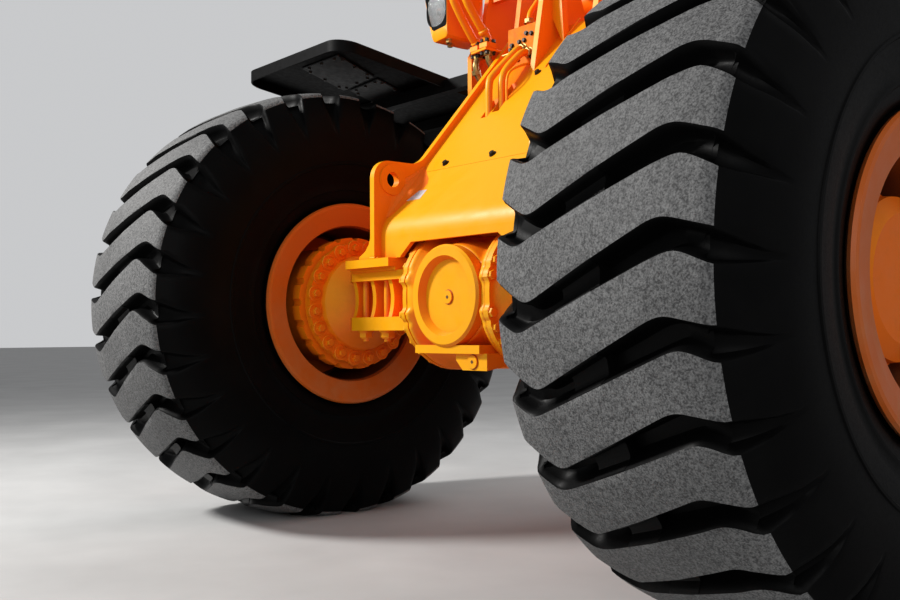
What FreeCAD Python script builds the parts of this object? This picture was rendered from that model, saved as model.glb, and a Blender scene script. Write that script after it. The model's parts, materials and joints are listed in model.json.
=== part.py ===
"""Front section of an articulated wheel loader: frame nose and tower, drive axle, wheels and mudguards.

Row frame in millimetres: +X forward, +Y to the machine's left, +Z up, origin at the centre of the
lower articulation bore. Sketches are drawn in machine coordinates, x ahead of the axle centre line
and z above the ground, and each body's placement carries them into the row frame.
"""
import FreeCAD, Part
import math
import os

import Sketcher
from FreeCAD import Placement, Rotation, Vector

doc = FreeCAD.newDocument("front_section")
sheet = doc.addObject("Spreadsheet::Sheet", "sizes")

# Driving dimensions: name, millimetres (degrees and counts where the name says so)
SIZES = (
    # where the axle lies from the articulation hinge, and the hinge from the ground
    ("axle_ahead", 1650),
    ("axle_height", 842),
    ("hinge_height", 640),
    ("half_track", 1167.5),
    # tyre section, radii from the axle and half widths from the wheel's middle plane
    ("bead_radius", 335),
    ("bead_half", 281),
    ("bead_top_radius", 412),
    ("sidewall_half", 338),
    ("sidewall_radius", 600),
    ("upper_wall_half", 322),
    ("upper_wall_radius", 735),
    ("shoulder_half", 278),
    ("shoulder_radius", 836),
    ("tread_half", 150),
    ("tread_radius", 863),
    ("crown_radius", 869),
    # tread grooves
    ("lug_count", 29),
    ("groove_floor", 806),
    ("groove_reach", 372),
    # rim
    ("rim_flange_radius", 400.7),
    ("rim_half", 321.3),
    ("rim_base_radius", 333),
    ("rim_bore_radius", 312),
    ("disc_out", 60),
    ("disc_thick", 24),
    # rotating hub
    ("hub_scallop_radius", 262),
    ("hub_radius", 232),
    ("hub_cover_radius", 196),
    ("hub_cover_out", 232),
    ("hub_gap", 8),
    ("spindle_radius", 90),
    ("bearing_clearance", 0.4),
    # stationary axle pieces
    ("arm_radius", 90),
    ("arm_flange_radius", 240),
    ("arm_flange_face", 362),
    ("arm_flange_thick", 34),
    ("centre_left", 184),
    ("centre_right", 212),
    ("centre_flange_radius", 222),
    ("centre_flange_thick", 20),
    ("centre_radius", 212),
    ("centre_waist", 6),
    ("joint_bolt_circle", 234),
    ("joint_boss_radius", 16),
    ("cover_face", 250),
    ("centre_back", 222),
    ("bowl_depth", 240),
    ("bowl_radius", 130),
    ("rest_half", 160),
    ("rest_low", 187),
    ("rest_height", 27),
    ("rest_set_back", 12),
    ("rest_deep", 110),
    ("drain_in", 60),
    ("drain_out", 176),
    ("drain_chamfer", 32),
    ("drain_set_back", 30),
    ("cover_radius", 166),
    ("cover_recess_radius", 126),
    ("cover_recess_depth", 26),
    ("pad_top", 942),
    ("pad_foot", 731),
    ("pad_plate", 32),
    ("pad_in", 126),
    ("pad_out", 187),
    ("pad_front", 205),
    ("pad_tail", 130),
    ("rib_set_back", 8),
    ("rib_hollow_deep", 10),
    # frame plates
    ("nose_half", 388),
    ("plate_thick", 24),
    ("bay_width", 176),
    ("foot_thick", 42),
    ("foot_spacer", 12),
    ("foot_spacer_in", 30),
    ("foot_corner", 42),
    ("foot_flare_high", 74),
    ("foot_flare_out", 68),
    ("foot_flare_long", 110),
    ("front_plate_thick", 18),
    ("seat_gap", 0.3),
    ("pilot_radius", 222),
    ("hub_flange_radius", 290),
    ("stud_circle", 262),
    ("stud_radius", 11),
    ("stud_count", 24),
    ("scallop_count", 20),
    ("cover_thick", 40),
    ("pad_foot_plate", 48),
    ("rib_inner_in", 30),
    ("rib_middle_out", 77),
    ("rib_outer_out", 186),
    ("rib_thick", 20),
    ("mount_bolt_x", 165),
    ("mount_bolt_near", 24),
    ("mount_bolt_far", 153),
    ("mount_bolt_radius", 12),
    ("nut_height", 22),
    ("washer_thick", 7),
    ("stud_end", 10),
    ("stud_bite", 34),
    ("carrier_back", 430),
    ("carrier_radius", 132),
    ("pinion_radius", 42),
    ("drive_flange_radius", 102),
    ("drive_bolt_half", 58),
    ("drive_hole_radius", 8.5),
    ("ear_front", 240),
    ("ear_top", 1337),
    ("ear_radius", 66),
    ("ear_hole_in", 80),
    ("ear_hole_down", 67),
    ("ear_hole_radius", 27),
    ("lip_foot_x", 34),
    ("lip_top_x", -470),
    ("lip_top_z", 1915),
    ("lip_round", 95),
    ("boom_pin_x", -650),
    ("boom_pin_z", 2260),
    ("boom_pin_radius", 50),
    ("lift_pin_x", -790),
    ("lift_pin_z", 1370),
    ("lift_pin_radius", 42),
    ("pin_boss_radius", 86),
    ("pin_boss_proud", 12),
    ("ear_boss_radius", 55),
    ("ear_boss_proud", 6),
    ("tower_back_x", -900),
    ("rear_plate_x", -1420),
    ("frame_floor", 560),
    ("foot_half", 245),
    ("foot_in", 88),
    ("foot_out", 212),
    ("outer_front_x", -400),
    ("outer_neck_z", 1850),
    ("outer_neck_in", 70),
    ("outer_neck_rise", 110),
    ("tower_waist_z", 1640),
    ("belly_x", -480),
    ("nose_front", 210),
    ("bend_radius", 110),
    ("seam_x", 32),
    ("seam_z", 1305),
    ("seam_gap", 1.5),
    ("blend_share", 0.6),
    ("arch_foot_in", 112),
    ("arch_half_in", 170),
    ("arch_top", 1033),
    ("slot_front_x", -180),
    ("slot_front_in", 152),
    ("slot_front_half", 34),
    ("slot_back_x", -213),
    ("slot_back_in", 197),
    ("slot_back_half", 52),
    ("slot_half_wide", 18),
    ("hinge_thick", 76),
    ("hinge_lug_radius", 120),
    ("hinge_bore_radius", 50),
    ("upper_hinge", 1220),
    ("rear_plate_top", 1440),
    ("rear_plate_foot", 1100),
    ("tower_back_foot", 1000),
    ("tower_tube_radius", 60),
    ("tower_tube_x", -725),
    ("tower_tube_z", 2050),
    # tilt bracket on the nose cover
    ("tilt_plate_in", 246),
    ("tilt_pin_x", -440),
    ("tilt_pin_z", 2180),
    ("tilt_pin_radius", 40),
    ("tilt_boss_radius", 86),
    ("tilt_foot_x", -303),
    ("tilt_front_z", 1960),
    ("tilt_gusset_x", -402),
    ("tilt_gusset_thick", 30),
    ("tilt_gusset_out", 58),
    # mudguards
    ("guard_inner", 780),
    ("guard_outer", 1540),
    ("guard_front_x", 118),
    ("guard_front_z", 1885),
    ("guard_knee_x", -850),
    ("guard_knee_z", 1745),
    ("guard_end_x", -1060),
    ("guard_end_z", 1400),
    ("guard_sheet", 7),
    ("guard_lip", 45),
    ("guard_corner", 90),
    ("guard_tube", 50),
    ("guard_tube_end", 1480),
    ("guard_tube_fore_x", -440),
    ("guard_tube_fore_top", 1793),
    ("guard_tube_aft_x", -760),
    ("guard_tube_aft_top", 1747),
    # headlamps
    ("lamp_out", 48),
    ("lamp_shelf_reach", 108),
    ("lamp_shelf_thick", 12),
    ("lamp_stay_foot", 1850),
    ("lamp_stay_x", -426),
    ("lamp_stay_wide", 42),
    ("lamp_z", 2045),
    ("lamp_face_x", -262),
    ("lamp_back_x", -470),
    ("lamp_wide", 170),
    ("lamp_high", 150),
    ("bezel_deep", 38),
    ("bezel_wall", 11),
    # hydraulic lines on the nose and the right tower bay
    ("nose_pipe_radius", 14),
    ("tower_line_radius", 15),
    ("hose_radius", 13),
    ("line_outer_off", 118),
    ("line_inner_off", 48),
    ("line_outer_x", -334),
    ("line_inner_x", -400),
    ("line_bend", 34),
    ("line_crest_x", -215),
    ("line_crest_z", 2080),
    ("line_outer_z", 2165),
    ("line_inner_z", 2128),
    ("line_plate_z", 1830),
    ("line_plate_thick", 10),
    ("line_plate_back", -460),
    ("line_plate_front", -300),
    ("flange_block", 21),
    ("coupling_long", 42),
    ("coupling_radius", 20),
    ("bulkhead_x", -545),
    ("bulkhead_thick", 30),
    ("bulkhead_low", 2095),
    ("bulkhead_high", 2200),
    ("port_x", -600),
    ("port_long", 40),
    ("port_wide", 150),
    ("port_low", 1640),
    ("port_high", 1720),
    ("valve_front", -348),
    ("valve_in", 148),
    ("valve_wide", 150),
    ("valve_top", 1903),
    ("valve_deep", 165),
    ("pipe_lift_z", 1647),
    ("pipe_front_x", -160),
    ("pipe_back_x", -192),
    ("pipe_foot_z", 1400),
    ("pipe_lean", 68),
    # steering cylinder lugs
    ("steer_x", -1300),
    ("steer_pin_off", 88),
    ("steer_half", 50),
    ("steer_lug_long", 133),
    ("steer_low", 880),
    ("steer_high", 1004),
    ("steer_pin_radius", 22),
)
for row, (alias, value) in enumerate(SIZES, start=1):
    sheet.set(f"A{row}", alias)
    sheet.set(f"B{row}", str(value))
    sheet.setAlias(f"B{row}", alias)
doc.recompute()


class Size:
    """A number together with the sheet formula that gives it."""

    def __init__(self, value, text):
        self.value = value
        self.text = text

    def join(self, other, sign, value):
        other = as_size(other)
        return Size(value(self.value, other.value), f"({self.text} {sign} {other.text})")

    def __add__(self, other):
        return self.join(other, "+", lambda a, b: a + b)

    def __radd__(self, other):
        return as_size(other) + self

    def __sub__(self, other):
        return self.join(other, "-", lambda a, b: a - b)

    def __rsub__(self, other):
        return as_size(other) - self

    def __mul__(self, other):
        return self.join(other, "*", lambda a, b: a * b)

    def __rmul__(self, other):
        return as_size(other) * self

    def __truediv__(self, other):
        return self.join(other, "/", lambda a, b: a / b)

    def __neg__(self):
        return as_size(0) - self


def as_size(number):
    return number if isinstance(number, Size) else Size(float(number), repr(float(number)))


def root(size):
    return Size(math.sqrt(size.value), f"sqrt({size.text})")


class Named:
    """The sheet's cells as attributes."""


s = Named()
for alias, value in SIZES:
    setattr(s, alias, Size(float(value), f"sizes.{alias}"))

# Helpers that draw, pad and place the pieces

def bind(obj, name, size):
    size = as_size(size)
    path = name.split(".")
    if len(path) == 1:
        setattr(obj, name, size.value)
    obj.setExpression(name, size.text)


def place(obj, x=0, y=0, z=0, turn=None):
    at = [as_size(v) for v in (x, y, z)]
    obj.Placement = Placement(Vector(*[v.value for v in at]), turn or Rotation())
    for axis, v in zip("xyz", at):
        obj.setExpression(f"Placement.Base.{axis}", v.text)


def origin_feature(body, role):
    return [f for f in body.Origin.OriginFeatures if f.Role == role][0]


def new_sketch(body, name, plane="XZ_Plane", offset=None):
    sketch = body.newObject("Sketcher::SketchObject", name)
    sketch.AttachmentSupport = [(origin_feature(body, plane), "")]
    sketch.MapMode = "FlatFace"
    if offset is not None:
        offset = as_size(offset)
        sketch.AttachmentOffset = Placement(Vector(0, 0, offset.value), Rotation())
        sketch.setExpression("AttachmentOffset.Base.z", offset.text)
    return sketch


def pin_point(sketch, geo, point, across, up):
    """Hold a point of the sketch at its two sizes from the sketch's origin."""
    for kind, axis, size in (("DistanceX", -2, across), ("DistanceY", -1, up)):
        size = as_size(size)
        if abs(size.value) < 1e-9:
            sketch.addConstraint(Sketcher.Constraint("PointOnObject", geo, point, axis))
            continue
        index = sketch.addConstraint(Sketcher.Constraint(kind, -1, 1, geo, point, size.value))
        sketch.setExpression(f"Constraints[{index}]", size.text)


def draw_outline(sketch, points):
    """A closed outline of straight lines through the points."""
    ends = [Vector(as_size(a).value, as_size(b).value, 0) for a, b in points]
    count = len(ends)
    first = sketch.GeometryCount
    sketch.addGeometry([Part.LineSegment(ends[i], ends[(i + 1) % count]) for i in range(count)], False)
    sketch.addConstraint([Sketcher.Constraint("Coincident", first + i, 2, first + (i + 1) % count, 1)
                          for i in range(count)])
    for i, (a, b) in enumerate(points):
        pin_point(sketch, first + i, 1, a, b)


def draw_circle(sketch, across, up, radius):
    across, up, radius = as_size(across), as_size(up), as_size(radius)
    centre = Vector(across.value, up.value, 0)
    geo = sketch.addGeometry(Part.Circle(centre, Vector(0, 0, 1), radius.value), False)
    pin_point(sketch, geo, 3, across, up)
    index = sketch.addConstraint(Sketcher.Constraint("Radius", geo, radius.value))
    sketch.setExpression(f"Constraints[{index}]", radius.text)


def draw_bow(sketch, edge, low, high, middle):
    """A closed outline: an upright line at the edge, and an arc back through the middle."""
    edge, low, high, middle = [as_size(v).value for v in (edge, low, high, middle)]
    near = (edge + middle * 3) / 4
    start, end = Vector(near, low, 0), Vector(near, high, 0)
    far = middle - (near - middle) * 0.6
    arc = Part.Arc(start, Vector(far, (low + high) / 2, 0), end)
    sketch.addGeometry([arc, Part.LineSegment(end, Vector(edge, high, 0)),
                        Part.LineSegment(Vector(edge, high, 0), Vector(edge, low, 0)),
                        Part.LineSegment(Vector(edge, low, 0), start)], False)


def new_body(label):
    body = doc.addObject("PartDesign::Body", "body_" + label)
    body.Label = label
    return body


def pad(body, sketch, length, midplane=True, reverse=False):
    feature = body.newObject("PartDesign::Pad", sketch.Name + "_pad")
    feature.Profile = sketch
    bind(feature, "Length", length)
    feature.Midplane = midplane
    feature.Reversed = reverse
    return feature


def pocket(body, sketch, length, midplane=True, reverse=False):
    feature = body.newObject("PartDesign::Pocket", sketch.Name + "_pocket")
    feature.Profile = sketch
    bind(feature, "Length", length)
    feature.Midplane = midplane
    feature.Reversed = reverse
    return feature


def round_corners(body, corners, radius, axis="y"):
    """Fillet the edges that run along the axis through the given sketch corners."""
    doc.recompute()
    tip = body.Tip
    keep = {"x": (1, 2), "y": (0, 2), "z": (0, 1)}[axis]
    names = []
    for number, edge in enumerate(tip.Shape.Edges, start=1):
        a, b = [v.Point for v in edge.Vertexes] if len(edge.Vertexes) == 2 else (None, None)
        if a is None or (a - b).Length < 1:
            continue
        if max(abs(a[k] - b[k]) for k in keep) > 0.01:
            continue
        for across, up in corners:
            here = (as_size(across).value, as_size(up).value)
            if max(abs(a[k] - h) for k, h in zip(keep, here)) < 0.5:
                names.append(f"Edge{number}")
    feature = body.newObject("PartDesign::Fillet", "round_" + body.Label + str(len(body.Group)))
    feature.Base = (tip, names)
    bind(feature, "Radius", radius)
    return feature


def round_corners_at(body, name, radius, level, size):
    """Fillet the round edge of a given radius at a given height of the body."""
    doc.recompute()
    tip = body.Tip
    radius, level = as_size(radius).value, as_size(level).value
    names = [f"Edge{i}" for i, edge in enumerate(tip.Shape.Edges, start=1)
             if isinstance(edge.Curve, Part.Circle) and abs(edge.Curve.Radius - radius) < 0.5
             and abs(edge.Curve.Center.z - level) < 0.5]
    feature = body.newObject("PartDesign::Fillet", name)
    feature.Base = (tip, names)
    bind(feature, "Radius", size)
    return feature


def revolve(body, sketch, axis="V_Axis"):
    feature = body.newObject("PartDesign::Revolution", sketch.Name + "_turned")
    feature.Profile = sketch
    feature.ReferenceAxis = (sketch, [axis])
    feature.Angle = 360
    return feature


def loft(body, name, sketches, kind="Additive"):
    """A straight-sided loft from the first sketch through the others."""
    feature = body.newObject(f"PartDesign::{kind}Loft", name)
    feature.Profile = sketches[0]
    feature.Sections = sketches[1:]
    feature.Ruled = True
    return feature


def ring_pattern(body, features, count, role="Y_Axis"):
    pattern = body.newObject("PartDesign::PolarPattern", features[0].Name + "_ring")
    pattern.Originals = features
    pattern.Axis = (origin_feature(body, role), [""])
    pattern.Angle = 360
    pattern.Occurrences = int(as_size(count).value)
    pattern.setExpression("Occurrences", as_size(count).text)
    body.Tip = pattern
    return pattern


def box(name, low, high):
    """A Part box between two corners."""
    block = doc.addObject("Part::Box", name)
    for prop, a, b in zip(("Length", "Width", "Height"), low, high):
        bind(block, prop, as_size(b) - as_size(a))
    place(block, *low)
    return block


TURNS = {"X": Rotation(Vector(0, 1, 0), 90), "Y": Rotation(Vector(1, 0, 0), -90), "Z": Rotation()}


def rod(name, radius, length, at, axis="Y"):
    """A Part cylinder that starts at a point and runs along an axis."""
    cylinder = doc.addObject("Part::Cylinder", name)
    bind(cylinder, "Radius", radius)
    bind(cylinder, "Height", length)
    place(cylinder, *at, turn=TURNS[axis])
    return cylinder


def fuse(label, shapes):
    joined = doc.addObject("Part::MultiFuse", "fuse_" + label)
    joined.Shapes = shapes
    joined.Label = label
    return joined


def cut(label, base, tool):
    rest = doc.addObject("Part::Cut", "cut_" + label)
    rest.Base = base
    rest.Tool = tool
    rest.Label = label
    return rest


def compound(label, shapes):
    group = doc.addObject("Part::Compound", "group_" + label)
    group.Links = shapes
    group.Label = label
    return group


AXLE_X = s.axle_ahead
AXLE_Z = s.axle_height - s.hinge_height
GROUND_Z = -s.hinge_height
FOOT_TOP = s.pad_top + s.foot_thick
OUTER_FACE = s.nose_half + s.plate_thick * 2 + s.bay_width
BAY_INNER = s.nose_half + s.plate_thick
BAY_OUTER = BAY_INNER + s.bay_width

# the axle pads, their ribs and studs and the frame's feet all lie about the nose's side plates
PAD_INNER = s.nose_half - s.pad_in
PAD_OUTER = s.nose_half + s.pad_out
FOOT_INNER = s.nose_half - s.foot_in
FOOT_OUTER = s.nose_half + s.foot_out
RIBS = (s.nose_half - s.rib_inner_in, s.nose_half + s.rib_middle_out, s.nose_half + s.rib_outer_out)
STUDS = [(x, s.nose_half + out) for x in (s.mount_bolt_x, -s.mount_bolt_x)
         for out in (s.mount_bolt_near, s.mount_bolt_far)]

# the nose slopes in one plane from its bend to the tower deck, parallel to the side plates' lip
COVER_SLOPE = (s.lip_top_z - s.ear_top) / (s.lip_foot_x - s.lip_top_x)
SLANT = root(COVER_SLOPE * COVER_SLOPE + 1)
NORMAL_X = COVER_SLOPE / SLANT
NORMAL_Z = as_size(1) / SLANT
BEND_Z = s.seam_z - (s.nose_front - s.seam_x) * COVER_SLOPE
COVER_END_X = s.seam_x + s.lip_top_x - s.lip_foot_x
DECK_Z = s.seam_z + s.lip_top_z - s.ear_top
SIDES = (("left", 1), ("right", -1))
nodes = []


def keep(piece):
    nodes.append(piece)
    return piece


def machine_place(body, y=0):
    """Put a body drawn in machine coordinates into the row frame."""
    place(body, AXLE_X, y, GROUND_Z)
    return body


def side_box(name, sign, x0, x1, y0, y1, z0, z1):
    """A box in machine coordinates on one side of the machine, y0 and y1 out from the middle."""
    ys = (y0, y1) if sign > 0 else (-y1, -y0)
    return box(name, (AXLE_X + x0, ys[0], z0 - s.hinge_height), (AXLE_X + x1, ys[1], z1 - s.hinge_height))


def wheel_place(body, sign):
    """Put a piece drawn about the wheel's middle, +Y outward, on its side of the axle."""
    place(body, AXLE_X, s.half_track * sign, AXLE_Z, Rotation(Vector(0, 0, 1), 0 if sign > 0 else 180))
    return body


# Tyres: flat-faced wedges round the wheel, cut by zigzag grooves that run out through both shoulders

# one groove, as half widths across the tread and degrees round it, fore and aft edges
GROOVE_FORE = ((-1.0, -9.6), (-0.455, -17.0), (0.487, -6.2), (1.0, -9.4))
GROOVE_AFT = ((-1.0, -15.6), (-0.55, -20.7), (0.575, -9.9), (1.0, -14.8))


def tyre_pitch(side):
    """One pitch of the tyre: a flat-sided slice of its section with the grooves that cross it."""
    body = new_body(f"pitch_{side}")
    half = (
        (s.bead_radius, s.bead_half),
        (s.bead_top_radius, s.bead_half),
        (s.sidewall_radius, s.sidewall_half),
        (s.upper_wall_radius, s.upper_wall_half),
        (s.shoulder_radius, s.shoulder_half),
        (s.tread_radius, s.tread_half),
    )
    section = new_sketch(body, f"tyre_section_{side}", "XY_Plane")
    draw_outline(section, [(r, y) for r, y in half] + [(r, -y) for r, y in reversed(half)])
    slope = math.tan(math.pi / s.lug_count.value)
    pad(body, section, s.crown_radius * 2 * slope + 20)
    trim = new_sketch(body, f"tyre_trim_{side}")
    near, far, wide = s.bead_radius / 2, s.crown_radius * 1.1, 200
    for way in (1, -1):
        draw_outline(trim, ((near, near * slope * way), (far, far * slope * way),
                            (far, (far * slope + wide) * way), (near, (near * slope + wide) * way)))
    pocket(body, trim, s.sidewall_half * 3)
    for step in (-1, 0, 1):
        groove = new_sketch(body, f"groove_{step + 1}_{side}", "YZ_Plane")
        turn = Rotation(Vector(1, 0, 0), step * 360 / s.lug_count.value)
        groove.AttachmentOffset = Placement(turn.multVec(Vector(0, 0, s.groove_floor.value)), turn)
        draw_outline(groove, [(s.groove_reach * share, s.shoulder_radius * math.tan(math.radians(degrees + 13)))
                              for share, degrees in GROOVE_FORE + tuple(reversed(GROOVE_AFT))])
        pocket(body, groove, s.crown_radius - s.groove_floor + 20, False, True)
    return body


def tyre(side, sign):
    pitch = tyre_pitch(side)
    slices = []
    for i in range(int(s.lug_count.value)):
        link = doc.addObject("App::Link", f"slice_{side}_{i}")
        link.LinkedObject = pitch
        link.Placement = Placement(Vector(), Rotation(Vector(0, 1, 0), 360 * i / s.lug_count.value))
        slices.append(link)
    ring = fuse(f"tyre_{side}", slices)
    ring.Refine = True
    return wheel_place(ring, sign)


def turned(label, outline):
    """A body turned about its own Y axis from an outline of radius and distance along the axis."""
    body = new_body(label)
    sketch = new_sketch(body, f"section_{label}", "XY_Plane")
    draw_outline(sketch, outline)
    revolve(body, sketch)
    return body


def ring_of_holes(body, label, radius, hole, along, depth, count):
    """A ring of round holes about the body's Y axis, centred at a distance along it."""
    sketch = new_sketch(body, f"holes_{label}", "XZ_Plane", -along)
    draw_circle(sketch, radius, 0, hole)
    feature = pocket(body, sketch, depth)
    ring_pattern(body, [feature], count)


# Rims: a turned base with rolled flanges and a disc that bolts to the hub

def rim(side, sign):
    half = (
        (s.rim_bore_radius, s.disc_out),
        (s.rim_bore_radius, s.rim_half - 58),
        (s.rim_bore_radius - 6, s.rim_half - 30),
        (s.rim_bore_radius, s.rim_half - 15),
        (s.rim_base_radius + 14, s.rim_half - 7),
        (s.rim_flange_radius - 16, s.rim_half),
        (s.rim_flange_radius - 5, s.rim_half - 1),
        (s.rim_flange_radius, s.rim_half - 10),
        (s.rim_flange_radius - 3, s.rim_half - 20),
        (s.rim_flange_radius - 15, s.rim_half - 31),
        (s.rim_base_radius + 18, s.bead_half + s.seat_gap + 3),
        (s.rim_base_radius, s.bead_half + s.seat_gap),
    )
    far = [(r, -y) for r, y in reversed(half[1:])]
    inner = [
        (s.rim_bore_radius, s.disc_out - s.disc_thick),
        (s.pilot_radius + s.seat_gap, s.disc_out - s.disc_thick),
        (s.pilot_radius + s.seat_gap, s.disc_out),
    ]
    body = turned(f"rim_{side}", list(half) + far + inner)
    ring_of_holes(body, f"rim_{side}", s.stud_circle, s.stud_radius + 1, s.disc_out, s.disc_thick * 4,
                  s.stud_count)
    return wheel_place(body, sign)


# Hubs: scalloped ring beside the axle flange, barrel, disc flange and planetary cover

def hub(side, sign):
    face = -s.arm_flange_face + s.arm_flange_thick + s.hub_gap
    bore = s.spindle_radius + s.bearing_clearance
    disc_face = s.disc_out - s.disc_thick - s.seat_gap
    body = turned(f"hub_{side}", (
        (bore, face),
        (s.hub_scallop_radius, face),
        (s.hub_scallop_radius, face + 48),
        (s.hub_radius, face + 60),
        (s.hub_radius, disc_face - 48),
        (s.hub_flange_radius, disc_face - 36),
        (s.hub_flange_radius, disc_face),
        (s.pilot_radius, disc_face),
        (s.pilot_radius, s.hub_cover_out - 90),
        (s.hub_cover_radius + 8, s.hub_cover_out - 90),
        (s.hub_cover_radius, s.hub_cover_out - 20),
        (s.hub_cover_radius - 40, s.hub_cover_out),
        (0, s.hub_cover_out),
        (0, s.disc_out + 60),
        (bore, s.disc_out + 60),
    ))
    sketch = new_sketch(body, f"scallop_{side}", "XZ_Plane", -(face + 24))
    draw_circle(sketch, s.hub_scallop_radius + 4, 0, 15)
    scallop = pocket(body, sketch, 60)
    ring_pattern(body, [scallop], s.scallop_count)
    return wheel_place(body, sign)


# Wheel nuts stand on the rim's disc, one per stud, with the stud's end showing

def wheel_nuts(side, sign):
    nuts = []
    for i in range(int(s.stud_count.value)):
        turn = 360.0 / s.stud_count.value * i
        nut = doc.addObject("Part::Prism", f"nut_{side}_{i}")
        nut.Polygon = 6
        bind(nut, "Circumradius", s.stud_radius * 1.75)
        bind(nut, "Height", s.stud_radius * 1.8)
        spin = Rotation(Vector(0, 1, 0), turn)
        at = spin.multVec(Vector(s.stud_circle.value, s.disc_out.value, 0))
        nut.Placement = Placement(at, spin * TURNS["Y"])
        nuts.append(nut)
    group = compound(f"wheel_nuts_{side}", nuts)
    return wheel_place(group, sign)


for side, sign in SIDES:
    keep(tyre(side, sign))
    keep(rim(side, sign))
    keep(hub(side, sign))
    keep(wheel_nuts(side, sign))


# Axle: centre housing with its round cover, two arms with mounting pads, spindle flanges

def axle_place(body, sign=1):
    """Put a piece drawn about the axle's middle, +Y outward, in the row frame."""
    place(body, AXLE_X, 0, AXLE_Z, Rotation(Vector(0, 0, 1), 0 if sign > 0 else 180))
    return body


# bolts of the joints with the arms, degrees from the horizontal, four times round
JOINT_BOLTS = (14.4, 26.6, 38.8, 51.0, 63.2, 75.4)


def joint_bosses(body, name, along, thick, way):
    """The bosses that stand out round a joint flange, one for each of its bolts."""
    sketch = new_sketch(body, name, "XZ_Plane", -along)
    for angle in JOINT_BOLTS:
        for turn in (angle, 180 - angle, 180 + angle, 360 - angle):
            across = s.joint_bolt_circle * math.cos(math.radians(turn))
            up = s.joint_bolt_circle * math.sin(math.radians(turn))
            draw_circle(sketch, across, up, s.joint_boss_radius)
    pad(body, sketch, thick, midplane=False, reverse=way > 0)


def axle_centre():
    """The cast middle: a full drum between two flanges, with necks, bowl, rest and drain blocks."""
    thick = s.centre_flange_thick
    body = turned("axle_centre", (
        (0, -s.centre_right),
        (s.centre_flange_radius, -s.centre_right),
        (s.centre_flange_radius, -s.centre_right + thick),
        (s.centre_radius, -s.centre_right + thick * 1.5),
        (s.centre_radius - s.centre_waist, 0),
        (s.centre_radius, s.centre_left - thick * 1.5),
        (s.centre_flange_radius, s.centre_left - thick),
        (s.centre_flange_radius, s.centre_left),
        (0, s.centre_left),
    ))
    joint_bosses(body, "bosses_left", s.centre_left, thick, -1)
    joint_bosses(body, "bosses_right", -s.centre_right, thick, 1)
    bowl = new_sketch(body, "bowl_circle", "XY_Plane", -s.bowl_depth)
    draw_circle(bowl, 0, 0, s.bowl_radius)
    pad(body, bowl, s.bowl_depth / 2, midplane=False)
    round_corners_at(body, "bowl_rim", s.bowl_radius, -s.bowl_depth, 36)
    neck = new_sketch(body, "neck_circle", "YZ_Plane")
    draw_circle(neck, 0, 0, s.cover_radius + 4)
    pad(body, neck, s.cover_face - s.cover_thick - s.seat_gap, midplane=False)
    rear = new_sketch(body, "rear_neck_circle", "YZ_Plane")
    draw_circle(rear, 0, 0, s.carrier_radius + 36)
    pad(body, rear, s.centre_back, midplane=False, reverse=True)
    rest = new_sketch(body, "rest_outline", "YZ_Plane", s.cover_face - s.rest_set_back)
    draw_outline(rest, ((-s.rest_half, -s.rest_low), (s.rest_half, -s.rest_low),
                        (s.rest_half, s.rest_height - s.rest_low), (-s.rest_half, s.rest_height - s.rest_low)))
    pad(body, rest, s.rest_deep, midplane=False, reverse=True)
    drain = new_sketch(body, "drain_outline", "YZ_Plane", s.cover_face - s.drain_set_back)
    draw_outline(drain, ((s.drain_in - s.drain_chamfer, -s.rest_low + 1),
                         (s.drain_in - s.drain_chamfer, -s.bowl_depth + s.drain_chamfer),
                         (s.drain_in, -s.bowl_depth), (s.drain_out, -s.bowl_depth),
                         (s.drain_out, -s.rest_low + 1)))
    pad(body, drain, s.rest_deep + 30, midplane=False, reverse=True)
    room = new_sketch(body, "cover_room", "YZ_Plane", s.cover_face - s.cover_thick - s.seat_gap)
    draw_circle(room, 0, 0, s.cover_radius + s.seat_gap)
    pocket(body, room, s.cover_thick * 2, midplane=False, reverse=True)
    return axle_place(body)


def diff_cover():
    body = new_body("diff_cover")
    sketch = new_sketch(body, "cover_section", "XZ_Plane")
    back = s.cover_face - s.cover_thick
    draw_outline(sketch, (
        (back, 0),
        (back, s.cover_radius),
        (s.cover_face - 8, s.cover_radius),
        (s.cover_face, s.cover_radius - 8),
        (s.cover_face, s.cover_recess_radius + 4),
        (s.cover_face - s.cover_recess_depth, s.cover_recess_radius - 8),
        (s.cover_face - s.cover_recess_depth, 14),
        (s.cover_face - s.cover_recess_depth + 5, 14),
        (s.cover_face - s.cover_recess_depth + 5, 0),
    ))
    revolve(body, sketch, "H_Axis")
    return axle_place(body)


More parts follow.
